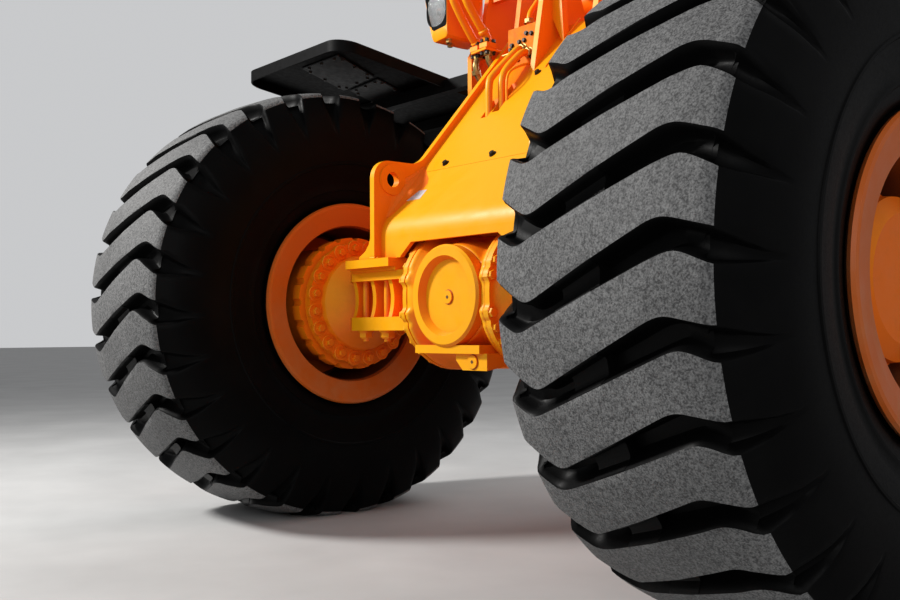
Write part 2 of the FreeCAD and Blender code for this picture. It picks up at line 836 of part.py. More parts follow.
def axle_arm(side, sign):
    inner = (s.centre_left if sign > 0 else s.centre_right) + s.seat_gap
    face = s.half_track - s.arm_flange_face
    room = face - FOOT_OUTER
    thick = s.centre_flange_thick
    body = turned(f"axle_arm_{side}", (
        (0, inner),
        (s.centre_flange_radius, inner),
        (s.centre_flange_radius, inner + thick),
        (s.centre_flange_radius - 34, inner + thick),
        (s.centre_flange_radius - 44, inner + thick + 10),
        (s.arm_radius + 44, inner + thick + 30),
        (s.arm_radius + 12, inner + thick + 60),
        (s.arm_radius, inner + thick + 100),
        (s.arm_radius, FOOT_OUTER + room * 0.17),
        (s.arm_radius + 14, FOOT_OUTER + room * 0.46),
        (s.arm_flange_radius - 90, FOOT_OUTER + room * 0.71),
        (s.arm_flange_radius - 56, FOOT_OUTER + room * 0.9),
        (s.arm_flange_radius - 50, face),
        (0, face),
    ))
    joint_bosses(body, f"arm_bosses_{side}", inner, thick, 1)
    top = s.pad_top - s.axle_height
    foot = s.pad_foot - s.axle_height
    tail = PAD_OUTER + s.pad_tail
    plan = (
        (-s.pad_front, PAD_INNER),
        (s.pad_front, PAD_INNER),
        (s.pad_front, PAD_OUTER),
        (s.pad_front - s.pad_tail * 0.38, PAD_OUTER + s.pad_tail * 0.62),
        (s.pad_front - s.pad_tail * 0.9, tail),
        (-s.pad_front + s.pad_tail * 0.9, tail),
        (-s.pad_front + s.pad_tail * 0.38, PAD_OUTER + s.pad_tail * 0.62),
        (-s.pad_front, PAD_OUTER),
    )
    for name, level, thick in (("upper", top - s.pad_plate, s.pad_plate), ("lower", foot, s.pad_foot_plate)):
        sketch = new_sketch(body, f"pad_{name}_{side}", "XY_Plane", level)
        draw_outline(sketch, plan)
        pad(body, sketch, thick, midplane=False)
    rib_front = s.pad_front - s.rib_set_back
    for number, along in enumerate(RIBS):
        sketch = new_sketch(body, f"rib_{number}_{side}", "XZ_Plane", -along)
        draw_outline(sketch, ((-rib_front, foot), (rib_front, foot), (rib_front, top), (-rib_front, top)))
        pad(body, sketch, s.rib_thick)
    low = foot + s.pad_foot_plate
    high = top - s.pad_plate
    hollow = new_sketch(body, f"rib_hollow_{side}", "XZ_Plane", -(PAD_INNER + PAD_OUTER) / 2)
    for way in (1, -1):
        draw_bow(hollow, (rib_front + 20) * way, low, high, (rib_front - s.rib_hollow_deep) * way)
    pocket(body, hollow, (PAD_OUTER - PAD_INNER) * 1.4)
    holes = new_sketch(body, f"pad_holes_{side}", "XY_Plane")
    for x, y in STUDS:
        draw_circle(holes, x, y, s.mount_bolt_radius + 0.5)
    pocket(body, holes, (top - foot) * 3)
    return axle_place(body, sign)


def spindle(side, sign):
    face = -s.arm_flange_face + s.seat_gap
    body = turned(f"spindle_{side}", (
        (0, face),
        (s.arm_flange_radius, face),
        (s.arm_flange_radius, -s.arm_flange_face + s.arm_flange_thick),
        (s.spindle_radius, -s.arm_flange_face + s.arm_flange_thick),
        (s.spindle_radius, s.disc_out + 40),
        (0, s.disc_out + 40),
    ))
    return wheel_place(body, sign)


def mount_bolts(side, sign):
    """Studs set in the foot plate, through both plates of the axle pad, with washer and nut below."""
    shapes = []
    pad_foot = s.pad_foot - s.hinge_height
    for i, (x, y) in enumerate(STUDS):
        tag = f"{side}_{i}"
        low = pad_foot - s.nut_height - s.washer_thick - s.stud_end
        high = s.pad_top + s.stud_bite - s.hinge_height
        shank = rod(f"stud_{tag}", s.mount_bolt_radius, high - low, (AXLE_X + x, y * sign, low), "Z")
        washer = rod(f"washer_{tag}", s.mount_bolt_radius * 2.1, s.washer_thick,
                     (AXLE_X + x, y * sign, pad_foot - s.washer_thick), "Z")
        nut = doc.addObject("Part::Prism", f"stud_nut_{tag}")
        nut.Polygon = 6
        bind(nut, "Circumradius", s.mount_bolt_radius * 1.8)
        bind(nut, "Height", s.nut_height)
        place(nut, AXLE_X + x, y * sign, pad_foot - s.washer_thick - s.nut_height)
        shapes.append(fuse(f"stud_set_{tag}", [shank, washer, nut]))
    return compound(f"mount_bolts_{side}", shapes)


keep(axle_centre())
keep(diff_cover())
for side, sign in SIDES:
    keep(axle_arm(side, sign))
    keep(spindle(side, sign))
    keep(mount_bolts(side, sign))


# Pinion carrier behind the axle centre and the drive flange that turns in it

def about_x(label, outline):
    body = new_body(label)
    sketch = new_sketch(body, f"section_{label}", "XZ_Plane")
    draw_outline(sketch, outline)
    revolve(body, sketch, "H_Axis")
    return body


def pinion_carrier():
    nose = -s.carrier_back
    body = about_x("pinion_carrier", (
        (-s.centre_back - s.seat_gap, 0),
        (-s.centre_back - s.seat_gap, s.carrier_radius + 36),
        (-s.centre_back - 24, s.carrier_radius + 36),
        (-s.centre_back - 34, s.carrier_radius),
        (nose + 60, s.carrier_radius - 24),
        (nose, s.carrier_radius - 34),
        (nose, s.pinion_radius + s.bearing_clearance),
        (nose + 110, s.pinion_radius + s.bearing_clearance),
        (nose + 110, 0),
    ))
    return axle_place(body)


def pinion_flange():
    back = -s.carrier_back - s.hub_gap
    body = about_x("pinion_flange", (
        (-s.carrier_back + 90, 0),
        (-s.carrier_back + 90, s.pinion_radius),
        (back, s.pinion_radius),
        (back, s.pinion_radius + 18),
        (back - 20, s.pinion_radius + 18),
        (back - 20, s.drive_flange_radius),
        (back - 38, s.drive_flange_radius),
        (back - 38, 0),
    ))
    holes = new_sketch(body, "drive_holes", "YZ_Plane", back - 29)
    for across, up in ((1, 1), (1, -1), (-1, 1), (-1, -1)):
        draw_circle(holes, s.drive_bolt_half * across, s.drive_bolt_half * up, s.drive_hole_radius)
    pocket(body, holes, 80)
    return axle_place(body)


keep(pinion_carrier())
keep(pinion_flange())


# Frame: side plates with tie-down ears, outer tower plates, bent nose plate and cover

def place_plate(body, y):
    place(body, AXLE_X, y, GROUND_Z)
    return body


def boss(body, name, x, z, radius, face, proud, way):
    """A round boss that stands out from a plate's face, toward +Y or -Y."""
    sketch = new_sketch(body, name, "XZ_Plane", -way * (face + proud / 2))
    draw_circle(sketch, x, z, radius)
    pad(body, sketch, proud)


EAR_HOLE = (s.ear_front - s.ear_hole_in, s.ear_top - s.ear_hole_down)


def side_plate(side, sign):
    body = new_body(f"side_plate_{side}")
    sketch = new_sketch(body, f"side_outline_{side}")
    foot = FOOT_TOP
    draw_outline(sketch, (
        (s.ear_front, foot),
        (s.ear_front, s.ear_top),
        (s.lip_foot_x, s.ear_top),
        (s.lip_top_x, s.lip_top_z),
        (s.boom_pin_x + 130, s.boom_pin_z - 40),
        (s.boom_pin_x + 110, s.boom_pin_z + 110),
        (s.boom_pin_x - 110, s.boom_pin_z + 110),
        (s.boom_pin_x - 150, s.boom_pin_z - 60),
        (s.tower_back_x, s.tower_waist_z),
        (s.rear_plate_x + 160, s.rear_plate_top + 30),
        (s.rear_plate_x, s.rear_plate_top),
        (s.rear_plate_x, s.frame_floor),
        (s.belly_x, s.frame_floor),
        (-s.foot_half - 60, foot - 120),
        (-s.foot_half, foot),
    ))
    pad(body, sketch, s.plate_thick)
    round_corners(body, ((s.ear_front, s.ear_top),), s.ear_radius)
    round_corners(body, ((s.lip_foot_x, s.ear_top),), s.lip_round)
    round_corners(body, ((s.boom_pin_x + 110, s.boom_pin_z + 110), (s.boom_pin_x - 110, s.boom_pin_z + 110)), 100)
    boss(body, f"ear_boss_{side}", EAR_HOLE[0], EAR_HOLE[1], s.ear_boss_radius,
         s.plate_thick / 2, s.ear_boss_proud, -sign)
    holes = new_sketch(body, f"side_holes_{side}")
    draw_circle(holes, EAR_HOLE[0], EAR_HOLE[1], s.ear_hole_radius)
    draw_circle(holes, s.boom_pin_x, s.boom_pin_z, s.boom_pin_radius)
    draw_circle(holes, s.lift_pin_x, s.lift_pin_z, s.lift_pin_radius)
    pocket(body, holes, s.plate_thick * 3)
    return place_plate(body, (s.nose_half + s.plate_thick / 2) * sign)


def outer_plate(side, sign):
    body = new_body(f"outer_plate_{side}")
    sketch = new_sketch(body, f"outer_outline_{side}")
    foot = FOOT_TOP
    draw_outline(sketch, (
        (s.outer_front_x, foot),
        (s.outer_front_x, s.outer_neck_z),
        (s.outer_front_x - s.outer_neck_in, s.outer_neck_z + s.outer_neck_rise),
        (s.boom_pin_x + 130, s.boom_pin_z - 40),
        (s.boom_pin_x + 110, s.boom_pin_z + 110),
        (s.boom_pin_x - 110, s.boom_pin_z + 110),
        (s.boom_pin_x - 150, s.boom_pin_z - 60),
        (s.tower_back_x, s.tower_waist_z),
        (s.tower_back_x, foot),
    ))
    pad(body, sketch, s.plate_thick)
    round_corners(body, ((s.boom_pin_x + 110, s.boom_pin_z + 110), (s.boom_pin_x - 110, s.boom_pin_z + 110)), 100)
    for name, x, z in (("boom", s.boom_pin_x, s.boom_pin_z), ("lift", s.lift_pin_x, s.lift_pin_z)):
        boss(body, f"{name}_boss_{side}", x, z, s.pin_boss_radius * (1 if name == "boom" else 0.8),
             s.plate_thick / 2, s.pin_boss_proud, sign)
    holes = new_sketch(body, f"outer_holes_{side}")
    draw_circle(holes, s.boom_pin_x, s.boom_pin_z, s.boom_pin_radius)
    draw_circle(holes, s.lift_pin_x, s.lift_pin_z, s.lift_pin_radius)
    pocket(body, holes, s.plate_thick * 3)
    return place_plate(body, (s.nose_half + s.plate_thick * 1.5 + s.bay_width) * sign)


def bay_floor(side, sign):
    """The floor between a side plate and the outer tower plate, level with the foot on the axle pad."""
    return side_box(f"bay_floor_{side}", sign, s.tower_back_x, -s.foot_half, BAY_INNER, OUTER_FACE,
                    FOOT_TOP - s.plate_thick, FOOT_TOP)


def foot_plate(side, sign):
    """The plate that stands on the axle pad, with its spacer below and the ear's flared foot on it."""
    body = new_body(f"foot_plate_{side}")
    sketch = new_sketch(body, f"foot_outline_{side}", "XY_Plane", s.pad_top + s.foot_spacer)
    inner = FOOT_INNER * sign
    outer = FOOT_OUTER * sign
    shoulder = (FOOT_OUTER - s.foot_corner) * sign
    draw_outline(sketch, ((-s.foot_half, inner), (s.foot_half, inner), (s.foot_half, shoulder),
                          (s.foot_half - s.foot_corner, outer), (-s.foot_half, outer)))
    pad(body, sketch, s.foot_thick - s.foot_spacer, midplane=False)
    spacer = new_sketch(body, f"spacer_outline_{side}", "XY_Plane", s.pad_top)
    reach = s.foot_half - s.foot_spacer_in
    edge = (FOOT_OUTER - s.foot_spacer_in) * sign
    draw_outline(spacer, ((-reach, inner), (reach, inner), (reach, edge), (-reach, edge)))
    pad(body, spacer, s.foot_spacer, midplane=False)
    flare = new_sketch(body, f"flare_outline_{side}", "YZ_Plane", s.ear_front)
    wall = BAY_INNER * sign
    rise, out = s.foot_flare_high, s.foot_flare_out * sign
    draw_outline(flare, ((wall, FOOT_TOP), (wall + out, FOOT_TOP), (wall + out, FOOT_TOP + rise * 0.12),
                         (wall + out * 0.45, FOOT_TOP + rise * 0.38), (wall + out * 0.14, FOOT_TOP + rise * 0.68),
                         (wall, FOOT_TOP + rise)))
    pad(body, flare, s.foot_flare_long, midplane=False, reverse=True)
    holes = new_sketch(body, f"foot_holes_{side}", "XY_Plane", s.pad_top)
    for x, y in STUDS:
        draw_circle(holes, x, y * sign, s.mount_bolt_radius + s.seat_gap)
    pocket(body, holes, s.stud_bite + 2, midplane=False, reverse=True)
    return place_plate(body, 0)


def nose_plate():
    body = new_body("nose_plate")
    sketch = new_sketch(body, "nose_outline")
    t = s.front_plate_thick
    inner_bend = (s.nose_front - t, BEND_Z - t * (1 - NORMAL_X) / NORMAL_Z)
    draw_outline(sketch, (
        (s.nose_front, FOOT_TOP),
        (s.nose_front, BEND_Z),
        (s.seam_x, s.seam_z),
        (s.seam_x - t * NORMAL_X, s.seam_z - t * NORMAL_Z),
        inner_bend,
        (s.nose_front - t, FOOT_TOP),
    ))
    pad(body, sketch, s.nose_half * 2)
    arch = new_sketch(body, "nose_arch", "YZ_Plane", s.nose_front)
    foot_y = s.nose_half - s.arch_foot_in
    top_y = s.nose_half - s.arch_half_in
    draw_outline(arch, ((-foot_y, FOOT_TOP - 10), (foot_y, FOOT_TOP - 10), (foot_y, FOOT_TOP + 4),
                        (top_y, s.arch_top), (-top_y, s.arch_top), (-foot_y, FOOT_TOP + 4)))
    pocket(body, arch, t * 4)
    round_corners(body, ((s.nose_front, BEND_Z),), s.bend_radius)
    round_corners(body, (inner_bend,), s.bend_radius - t)
    return place_plate(body, 0)


def nose_cover():
    body = new_body("nose_cover")
    sketch = new_sketch(body, "cover_outline")
    t = s.front_plate_thick
    foot = (s.seam_x - s.seam_gap * NORMAL_Z, s.seam_z + s.seam_gap * NORMAL_X)
    draw_outline(sketch, (
        foot,
        (COVER_END_X, DECK_Z),
        (COVER_END_X - t * NORMAL_X, DECK_Z - t * NORMAL_Z),
        (foot[0] - t * NORMAL_X, foot[1] - t * NORMAL_Z),
    ))
    pad(body, sketch, s.nose_half * 2)
    slots = new_sketch(body, "pipe_slots", "XY_Plane")
    for x, y, half in ((s.slot_front_x, s.slot_front_in - s.nose_half, s.slot_front_half),
                       (s.slot_back_x, s.slot_back_in - s.nose_half, s.slot_back_half)):
        low, high = y - s.slot_half_wide, y + s.slot_half_wide
        draw_outline(slots, ((x - half, low), (x + half, low), (x + half, high), (x - half, high)))
    pocket(body, slots, DECK_Z * 3)
    return place_plate(body, 0)


# how far each ear's cast blend reaches inward along the nose, by height
BLEND = ((1134, 14), (1150, 26), (1172, 40), (1205, 72), (1232, 98), (1252, 100), (1274, 84), (1296, 50),
         (1316, 24), (1332, 8))


def ear_blend(side, sign):
    """The cast blend between an ear's inner face and the nose's slope, with room for the ear's boss."""
    body = new_body(f"blend_{side}")
    wall = s.nose_half * sign
    sections = []
    for number, (level, inward) in enumerate(BLEND):
        sketch = new_sketch(body, f"blend_{number}_{side}", "XY_Plane", level)
        face_x = s.seam_x + (s.seam_z - level) / COVER_SLOPE
        ahead = s.blend_share * inward
        reach = -inward * sign
        draw_outline(sketch, (
            (face_x, wall),
            (face_x + ahead, wall),
            (face_x + ahead * 0.5625, wall + reach * 0.0625),
            (face_x + ahead * 0.25, wall + reach * 0.25),
            (face_x + ahead * 0.0625, wall + reach * 0.5625),
            (face_x, wall + reach),
        ))
        sections.append(sketch)
    loft(body, f"blend_loft_{side}", sections)
    machine_place(body)
    boss_room = rod(f"boss_room_{side}", s.ear_boss_radius + s.seat_gap, s.ear_boss_proud * 3,
                    (AXLE_X + EAR_HOLE[0], wall - s.ear_boss_proud * 1.5, EAR_HOLE[1] - s.hinge_height))
    return cut(f"blend_cut_{side}", body, boss_room)


for side, sign in SIDES:
    keep(side_plate(side, sign))
    keep(outer_plate(side, sign))
    keep(bay_floor(side, sign))
    keep(foot_plate(side, sign))
keep(nose_plate())
keep(nose_cover())
keep(compound("ear_blends", [ear_blend(side, sign) for side, sign in SIDES]))


# Cross members between the side plates, and the articulation hinge at the back

def cross_box(label, x0, x1, z0, z1, half):
    return box(label, (AXLE_X + x0, -half, z0 - s.hinge_height), (AXLE_X + x1, half, z1 - s.hinge_height))


def hinge_plate(label, level, thick):
    body = new_body(label)
    sketch = new_sketch(body, f"outline_{label}", "XY_Plane", level)
    draw_outline(sketch, (
        (s.rear_plate_x - s.plate_thick, -s.nose_half),
        (s.rear_plate_x - s.plate_thick, s.nose_half),
        (-s.axle_ahead + 70, s.hinge_lug_radius),
        (-s.axle_ahead - s.hinge_lug_radius, s.hinge_lug_radius),
        (-s.axle_ahead - s.hinge_lug_radius, -s.hinge_lug_radius),
        (-s.axle_ahead + 70, -s.hinge_lug_radius),
    ))
    pad(body, sketch, thick)
    round_corners(body, ((-s.axle_ahead - s.hinge_lug_radius, s.hinge_lug_radius),
                         (-s.axle_ahead - s.hinge_lug_radius, -s.hinge_lug_radius)), s.hinge_lug_radius - 2, "z")
    bore = new_sketch(body, f"bore_{label}", "XY_Plane", level)
    draw_circle(bore, -s.axle_ahead, 0, s.hinge_bore_radius)
    pocket(body, bore, thick * 3)
    return place_plate(body, 0)


keep(cross_box("rear_plate_low", s.rear_plate_x - s.plate_thick, s.rear_plate_x, s.frame_floor, s.hinge_height + 60,
               s.nose_half + s.plate_thick))
keep(cross_box("rear_plate_high", s.rear_plate_x - s.plate_thick, s.rear_plate_x, s.rear_plate_foot, s.rear_plate_top,
               s.nose_half + s.plate_thick))
keep(hinge_plate("hinge_plate_low", s.hinge_height, s.hinge_thick))
keep(hinge_plate("hinge_plate_high", s.upper_hinge, s.hinge_thick))
keep(cross_box("tower_deck", s.tower_back_x + s.plate_thick, COVER_END_X - 20,
               DECK_Z - 20, DECK_Z, s.nose_half))
keep(cross_box("tower_back", s.tower_back_x, s.tower_back_x + s.plate_thick, s.tower_back_foot,
               DECK_Z, s.nose_half))


def tower_tube():
    """The round tube that ties the tower's two side plates together behind the tilt bracket."""
    return rod("tower_tube", s.tower_tube_radius, s.nose_half * 2,
               (AXLE_X + s.tower_tube_x, -s.nose_half, s.tower_tube_z - s.hinge_height))


keep(tower_tube())

# Tilt bracket: two plates that stand on the nose cover and the tower deck

def tilt_plate(side, sign):
    body = new_body(f"tilt_plate_{side}")
    sketch = new_sketch(body, f"tilt_outline_{side}")
    boss_radius = s.tilt_boss_radius
    foot_z = s.seam_z + (s.seam_x - s.tilt_foot_x) * COVER_SLOPE
    draw_outline(sketch, (
        (s.tilt_foot_x, foot_z),
        (s.tilt_foot_x - 50, s.tilt_front_z),
        (s.tilt_pin_x + boss_radius, s.tilt_pin_z),
        (s.tilt_pin_x + boss_radius, s.tilt_pin_z + boss_radius),
        (s.tilt_pin_x - boss_radius, s.tilt_pin_z + boss_radius),
        (s.tilt_pin_x - boss_radius, s.tilt_pin_z - boss_radius),
        (s.tilt_pin_x - boss_radius * 2, DECK_Z),
        (COVER_END_X, DECK_Z),
    ))
    pad(body, sketch, s.plate_thick)
    round_corners(body, ((s.tilt_pin_x + boss_radius, s.tilt_pin_z + boss_radius),
                         (s.tilt_pin_x - boss_radius, s.tilt_pin_z + boss_radius)), boss_radius - 2)
    face = -s.plate_thick / 2 * sign
    out = -s.tilt_gusset_out * sign
    gusset_z = s.seam_z + (s.seam_x - s.tilt_gusset_x) * COVER_SLOPE
    gusset = new_sketch(body, f"tilt_gusset_{side}", "YZ_Plane", s.tilt_gusset_x)
    draw_outline(gusset, ((face, s.tilt_front_z + 90), (face, s.tilt_front_z - 60), (face + out * 0.85, gusset_z),
                          (face + out, gusset_z), (face + out * 0.7, s.tilt_front_z + 90)))
    pad(body, gusset, s.tilt_gusset_thick, midplane=False, reverse=True)
    below = new_sketch(body, f"tilt_gusset_foot_{side}", "XZ_Plane")
    rise = s.tilt_gusset_thick * COVER_SLOPE
    draw_outline(below, ((s.tilt_gusset_x, gusset_z), (s.tilt_gusset_x - s.tilt_gusset_thick, gusset_z + rise),
                         (s.tilt_gusset_x - s.tilt_gusset_thick, gusset_z - 20), (s.tilt_gusset_x, gusset_z - 20)))
    pocket(body, below, s.tilt_gusset_out * 4)
    bore = new_sketch(body, f"tilt_bore_{side}")
    draw_circle(bore, s.tilt_pin_x, s.tilt_pin_z, s.tilt_pin_radius)
    pocket(body, bore, s.plate_thick * 3)
    return place_plate(body, (s.nose_half - s.tilt_plate_in) * sign)


for side, sign in SIDES:
    keep(tilt_plate(side, sign))


# Mudguards: a bent sheet with lips all round, carried by two square tubes from the outer plate

def mudguard(side, sign):
    body = new_body(f"mudguard_{side}")
    half = (s.guard_outer - s.guard_inner) / 2
    top = ((s.guard_front_x, s.guard_front_z), (s.guard_knee_x, s.guard_knee_z), (s.guard_end_x, s.guard_end_z))
    block = new_sketch(body, f"guard_block_{side}")
    draw_outline(block, top + (
        (s.guard_end_x + s.guard_lip * 0.85, s.guard_end_z - s.guard_lip * 0.52),
        (s.guard_knee_x + s.guard_lip * 0.68, s.guard_knee_z - s.guard_lip * 0.96),
        (s.guard_front_x, s.guard_front_z - s.guard_lip),
    ))
    pad(body, block, half * 2)
    hollow = new_sketch(body, f"guard_hollow_{side}")
    t = s.guard_sheet
    draw_outline(hollow, (
        (s.guard_front_x - t, s.guard_front_z - t * 1.15),
        (s.guard_knee_x + t * 0.68, s.guard_knee_z - t * 0.96),
        (s.guard_end_x + t * 1.2 - 60, s.guard_end_z - 98),
        (s.guard_end_x + 60, s.guard_end_z - 98),
        (s.guard_knee_x + 80, s.guard_knee_z - 110),
        (s.guard_front_x - t, s.guard_front_z - 110),
    ))
    pocket(body, hollow, half * 2 - t * 2)
    inner = ((s.guard_front_x - t, half - t), (s.guard_front_x - t, t - half))
    round_corners(body, inner, s.guard_corner - t, "z")
    round_corners(body, ((s.guard_front_x, half), (s.guard_front_x, -half)), s.guard_corner, "z")
    gap = new_sketch(body, f"guard_notches_{side}", "XZ_Plane", half * sign)
    reach = s.guard_tube / 2 + 1
    for x, level in ((s.guard_tube_fore_x, s.guard_tube_fore_top), (s.guard_tube_aft_x, s.guard_tube_aft_top)):
        draw_outline(gap, ((x - reach, level + 0.4), (x + reach, level + 0.4),
                           (x + reach, level - s.guard_tube * 1.2), (x - reach, level - s.guard_tube * 1.2)))
    pocket(body, gap, t * 4)
    return machine_place(body, (s.guard_inner + half) * sign)


def mudguard_tubes(side, sign):
    tubes = []
    half = s.guard_tube / 2
    for name, x, level in (("fore", s.guard_tube_fore_x, s.guard_tube_fore_top),
                           ("aft", s.guard_tube_aft_x, s.guard_tube_aft_top)):
        skin = side_box(f"tube_{name}_{side}", sign, x - half, x + half, OUTER_FACE, s.guard_tube_end,
                        level - s.guard_tube, level)
        bore = side_box(f"tube_bore_{name}_{side}", sign, x - half + 4, x + half - 4, OUTER_FACE + 6,
                        s.guard_tube_end + 10, level - s.guard_tube + 4, level - 4)
        tubes.append(cut(f"tube_{name}_{side}_hollow", skin, bore))
    return compound(f"mudguard_tubes_{side}", tubes)


for side, sign in SIDES:
    keep(mudguard(side, sign))
    keep(mudguard_tubes(side, sign))


# Headlamps: a tapered housing on a bracket from the outer plate, a black bezel and a lens

LAMP_Y = OUTER_FACE + s.lamp_out


def lamp_rect(body, name, x, wide, high):
    sketch = new_sketch(body, name, "YZ_Plane", x)
    draw_outline(sketch, ((-wide / 2, s.lamp_z - high / 2), (wide / 2, s.lamp_z - high / 2),
                          (wide / 2, s.lamp_z + high / 2), (-wide / 2, s.lamp_z + high / 2)))
    return sketch


def lamp_housing(side, sign):
    body = new_body(f"lamp_shell_{side}")
    front = lamp_rect(body, f"shell_front_{side}", s.lamp_face_x - s.bezel_deep, s.lamp_wide, s.lamp_high)
    back = lamp_rect(body, f"shell_back_{side}", s.lamp_back_x, s.lamp_wide * 0.7, s.lamp_high * 0.72)
    loft(body, f"shell_{side}", [front, back])
    place(body, AXLE_X, LAMP_Y * sign, GROUND_Z)
    foot = s.lamp_z - s.lamp_high / 2
    wide = s.lamp_stay_wide / 2
    reach = OUTER_FACE + s.lamp_shelf_reach
    shelf = side_box(f"lamp_shelf_{side}", sign, s.lamp_stay_x - wide - 8, s.lamp_face_x - s.bezel_deep - 30,
                     OUTER_FACE, reach, foot - s.lamp_shelf_thick, foot)
    stay = side_box(f"lamp_stay_{side}", sign, s.lamp_stay_x - wide, s.lamp_stay_x + wide, OUTER_FACE, reach,
                    s.lamp_stay_foot, foot - s.lamp_shelf_thick / 2)
    post = side_box(f"lamp_post_{side}", sign, s.lamp_stay_x - 4, s.lamp_stay_x + 36, LAMP_Y - 20, LAMP_Y + 20,
                    foot - s.lamp_shelf_thick / 2, foot + 40)
    return fuse(f"lamp_housing_{side}", [body, shelf, stay, post])


def lamp_bezel(side, sign):
    body = new_body(f"lamp_bezel_{side}")
    outer = lamp_rect(body, f"bezel_outer_{side}", s.lamp_face_x - s.bezel_deep, s.lamp_wide, s.lamp_high)
    pad(body, outer, s.bezel_deep, midplane=False)
    wall = s.bezel_wall * 2
    inner = lamp_rect(body, f"bezel_inner_{side}", s.lamp_face_x - s.bezel_deep, s.lamp_wide - wall,
                      s.lamp_high - wall)
    pocket(body, inner, s.bezel_deep * 3)
    place(body, AXLE_X, LAMP_Y * sign, GROUND_Z)
    return body


def lamp_lens(side, sign):
    wall = s.bezel_wall
    return side_box(f"lamp_lens_{side}", sign, s.lamp_face_x - s.bezel_deep, s.lamp_face_x - 10,
                    LAMP_Y - s.lamp_wide / 2 + wall, LAMP_Y + s.lamp_wide / 2 - wall,
                    s.lamp_z - s.lamp_high / 2 + wall, s.lamp_z + s.lamp_high / 2 - wall)


for side, sign in SIDES:
    keep(lamp_housing(side, sign))
    keep(lamp_bezel(side, sign))
    keep(lamp_lens(side, sign))


# Hydraulic lines: bent pipes up the nose to the valve block, and tubes in the right tower bay

def bent_pipe(label, points, radius, bend, y):
    """A round pipe along straight runs joined by bends of one radius, in the plane at y."""
    body = new_body(label)
    path = new_sketch(body, f"path_{label}")
    corners = [Vector(as_size(x).value, as_size(z).value, 0) for x, z in points]
    start = corners[0]
    bend = as_size(bend).value
    runs = []
    for before, corner, after in zip(corners, corners[1:], corners[2:]):
        toward = (before - corner).normalize()
        away = (after - corner).normalize()
        half = toward.getAngle(away) / 2
        first = corner + toward * (bend / math.tan(half))
        last = corner + away * (bend / math.tan(half))
        middle = corner + (toward + away).normalize() * (bend / math.sin(half) - bend)
        runs.append(Part.LineSegment(start, first))
        runs.append(Part.Arc(first, middle, last))
        start = last
    runs.append(Part.LineSegment(start, corners[-1]))
    path.addGeometry(runs, False)
    ring = body.newObject("Sketcher::SketchObject", f"ring_{label}")
    ring.AttachmentSupport = [(path, "Edge1")]
    ring.MapMode = "NormalToEdge"
    draw_circle(ring, 0, 0, radius)
    sweep = body.newObject("PartDesign::AdditivePipe", f"swept_{label}")
    sweep.Profile = ring
    sweep.Spine = path
    return machine_place(body, y)


def valve_block():
    """The block on the right of the nose cover that both nose pipes run into."""
    body = new_body("valve_block")
    sketch = new_sketch(body, "valve_outline")
    draw_outline(sketch, (
        (s.valve_front, s.seam_z + (s.seam_x - s.valve_front) * COVER_SLOPE),
        (s.valve_front, s.valve_top - 17),
        (s.valve_front - 70, s.valve_top),
        (s.valve_front - s.valve_deep, s.valve_top),
        (s.valve_front - s.valve_deep, DECK_Z),
        (COVER_END_X, DECK_Z),
    ))
    pad(body, sketch, s.valve_wide)
    return machine_place(body, s.valve_in - s.nose_half)


def nose_pipe(name, x, inset, bend, shoulder_x, top):
    """A pipe that rises through its slot, leans back along the cover and ends in the valve block."""
    points = (
        (x - 5, s.pipe_foot_z),
        (x, s.pipe_lift_z),
        (shoulder_x, s.pipe_lift_z + (x - shoulder_x) * 1.5),
        (s.valve_front + 42, top),
        (s.valve_front + s.seat_gap, top),
    )
    return bent_pipe(name, points, s.nose_pipe_radius, bend, inset - s.nose_half)


keep(compound("nose_pipes", [
    nose_pipe("pipe_front", s.pipe_front_x, s.slot_front_in, 32, s.pipe_front_x - s.pipe_lean, s.valve_top - 34),
    nose_pipe("pipe_back", s.pipe_back_x, s.slot_back_in, 26, s.pipe_back_x - s.pipe_lean, s.valve_top - 100),
]))
keep(valve_block())
keep(side_box("line_plate", -1, s.line_plate_back, s.line_plate_front, BAY_INNER, BAY_OUTER,
              s.line_plate_z, s.line_plate_z + s.line_plate_thick))
keep(side_box("line_bulkhead", -1, s.bulkhead_x, s.bulkhead_x + s.bulkhead_thick, BAY_INNER, BAY_OUTER,
              s.bulkhead_low, s.bulkhead_high))

BLOCK_TOP = s.line_plate_z + s.line_plate_thick + s.flange_block
COUPLING_FOOT = s.line_plate_z - s.coupling_long
LINES = (
    ("outer", s.line_outer_x, s.line_outer_off, s.line_outer_z, 0, s.port_low + 28),
    ("inner", s.line_inner_x, s.line_inner_off, s.line_inner_z, 20, s.port_high - 28),
)


def tower_line(name, x, off, top, drop):
    """A tube from its flange block, forward and up, then back to the bulkhead between the plates."""
    points = (
        (x, BLOCK_TOP + s.seat_gap),
        (x, BLOCK_TOP + 29),
        (s.line_crest_x - drop / 2, s.line_crest_z - drop),
        (s.line_crest_x - drop / 2 - 45, top),
        (s.bulkhead_x + s.bulkhead_thick + s.seat_gap, top),
    )
    return bent_pipe(f"line_{name}", points, s.tower_line_radius, s.line_bend, -(BAY_INNER + off))


def lower_line(name, x, off, level):
    """A tube from the coupling under the line plate, down and back to its port in the bay."""
    points = (
        (x, COUPLING_FOOT - s.seat_gap),
        (x, level),
        (s.port_x + s.port_long + s.seat_gap, level),
    )
    return bent_pipe(f"lower_{name}", points, s.hose_radius, s.line_bend, -(BAY_INNER + off))


keep(compound("tower_lines", [tower_line(name, x, off, top, drop) for name, x, off, top, drop, low in LINES]))
keep(compound("lower_lines", [lower_line(name, x, off, low) for name, x, off, top, drop, low in LINES]))


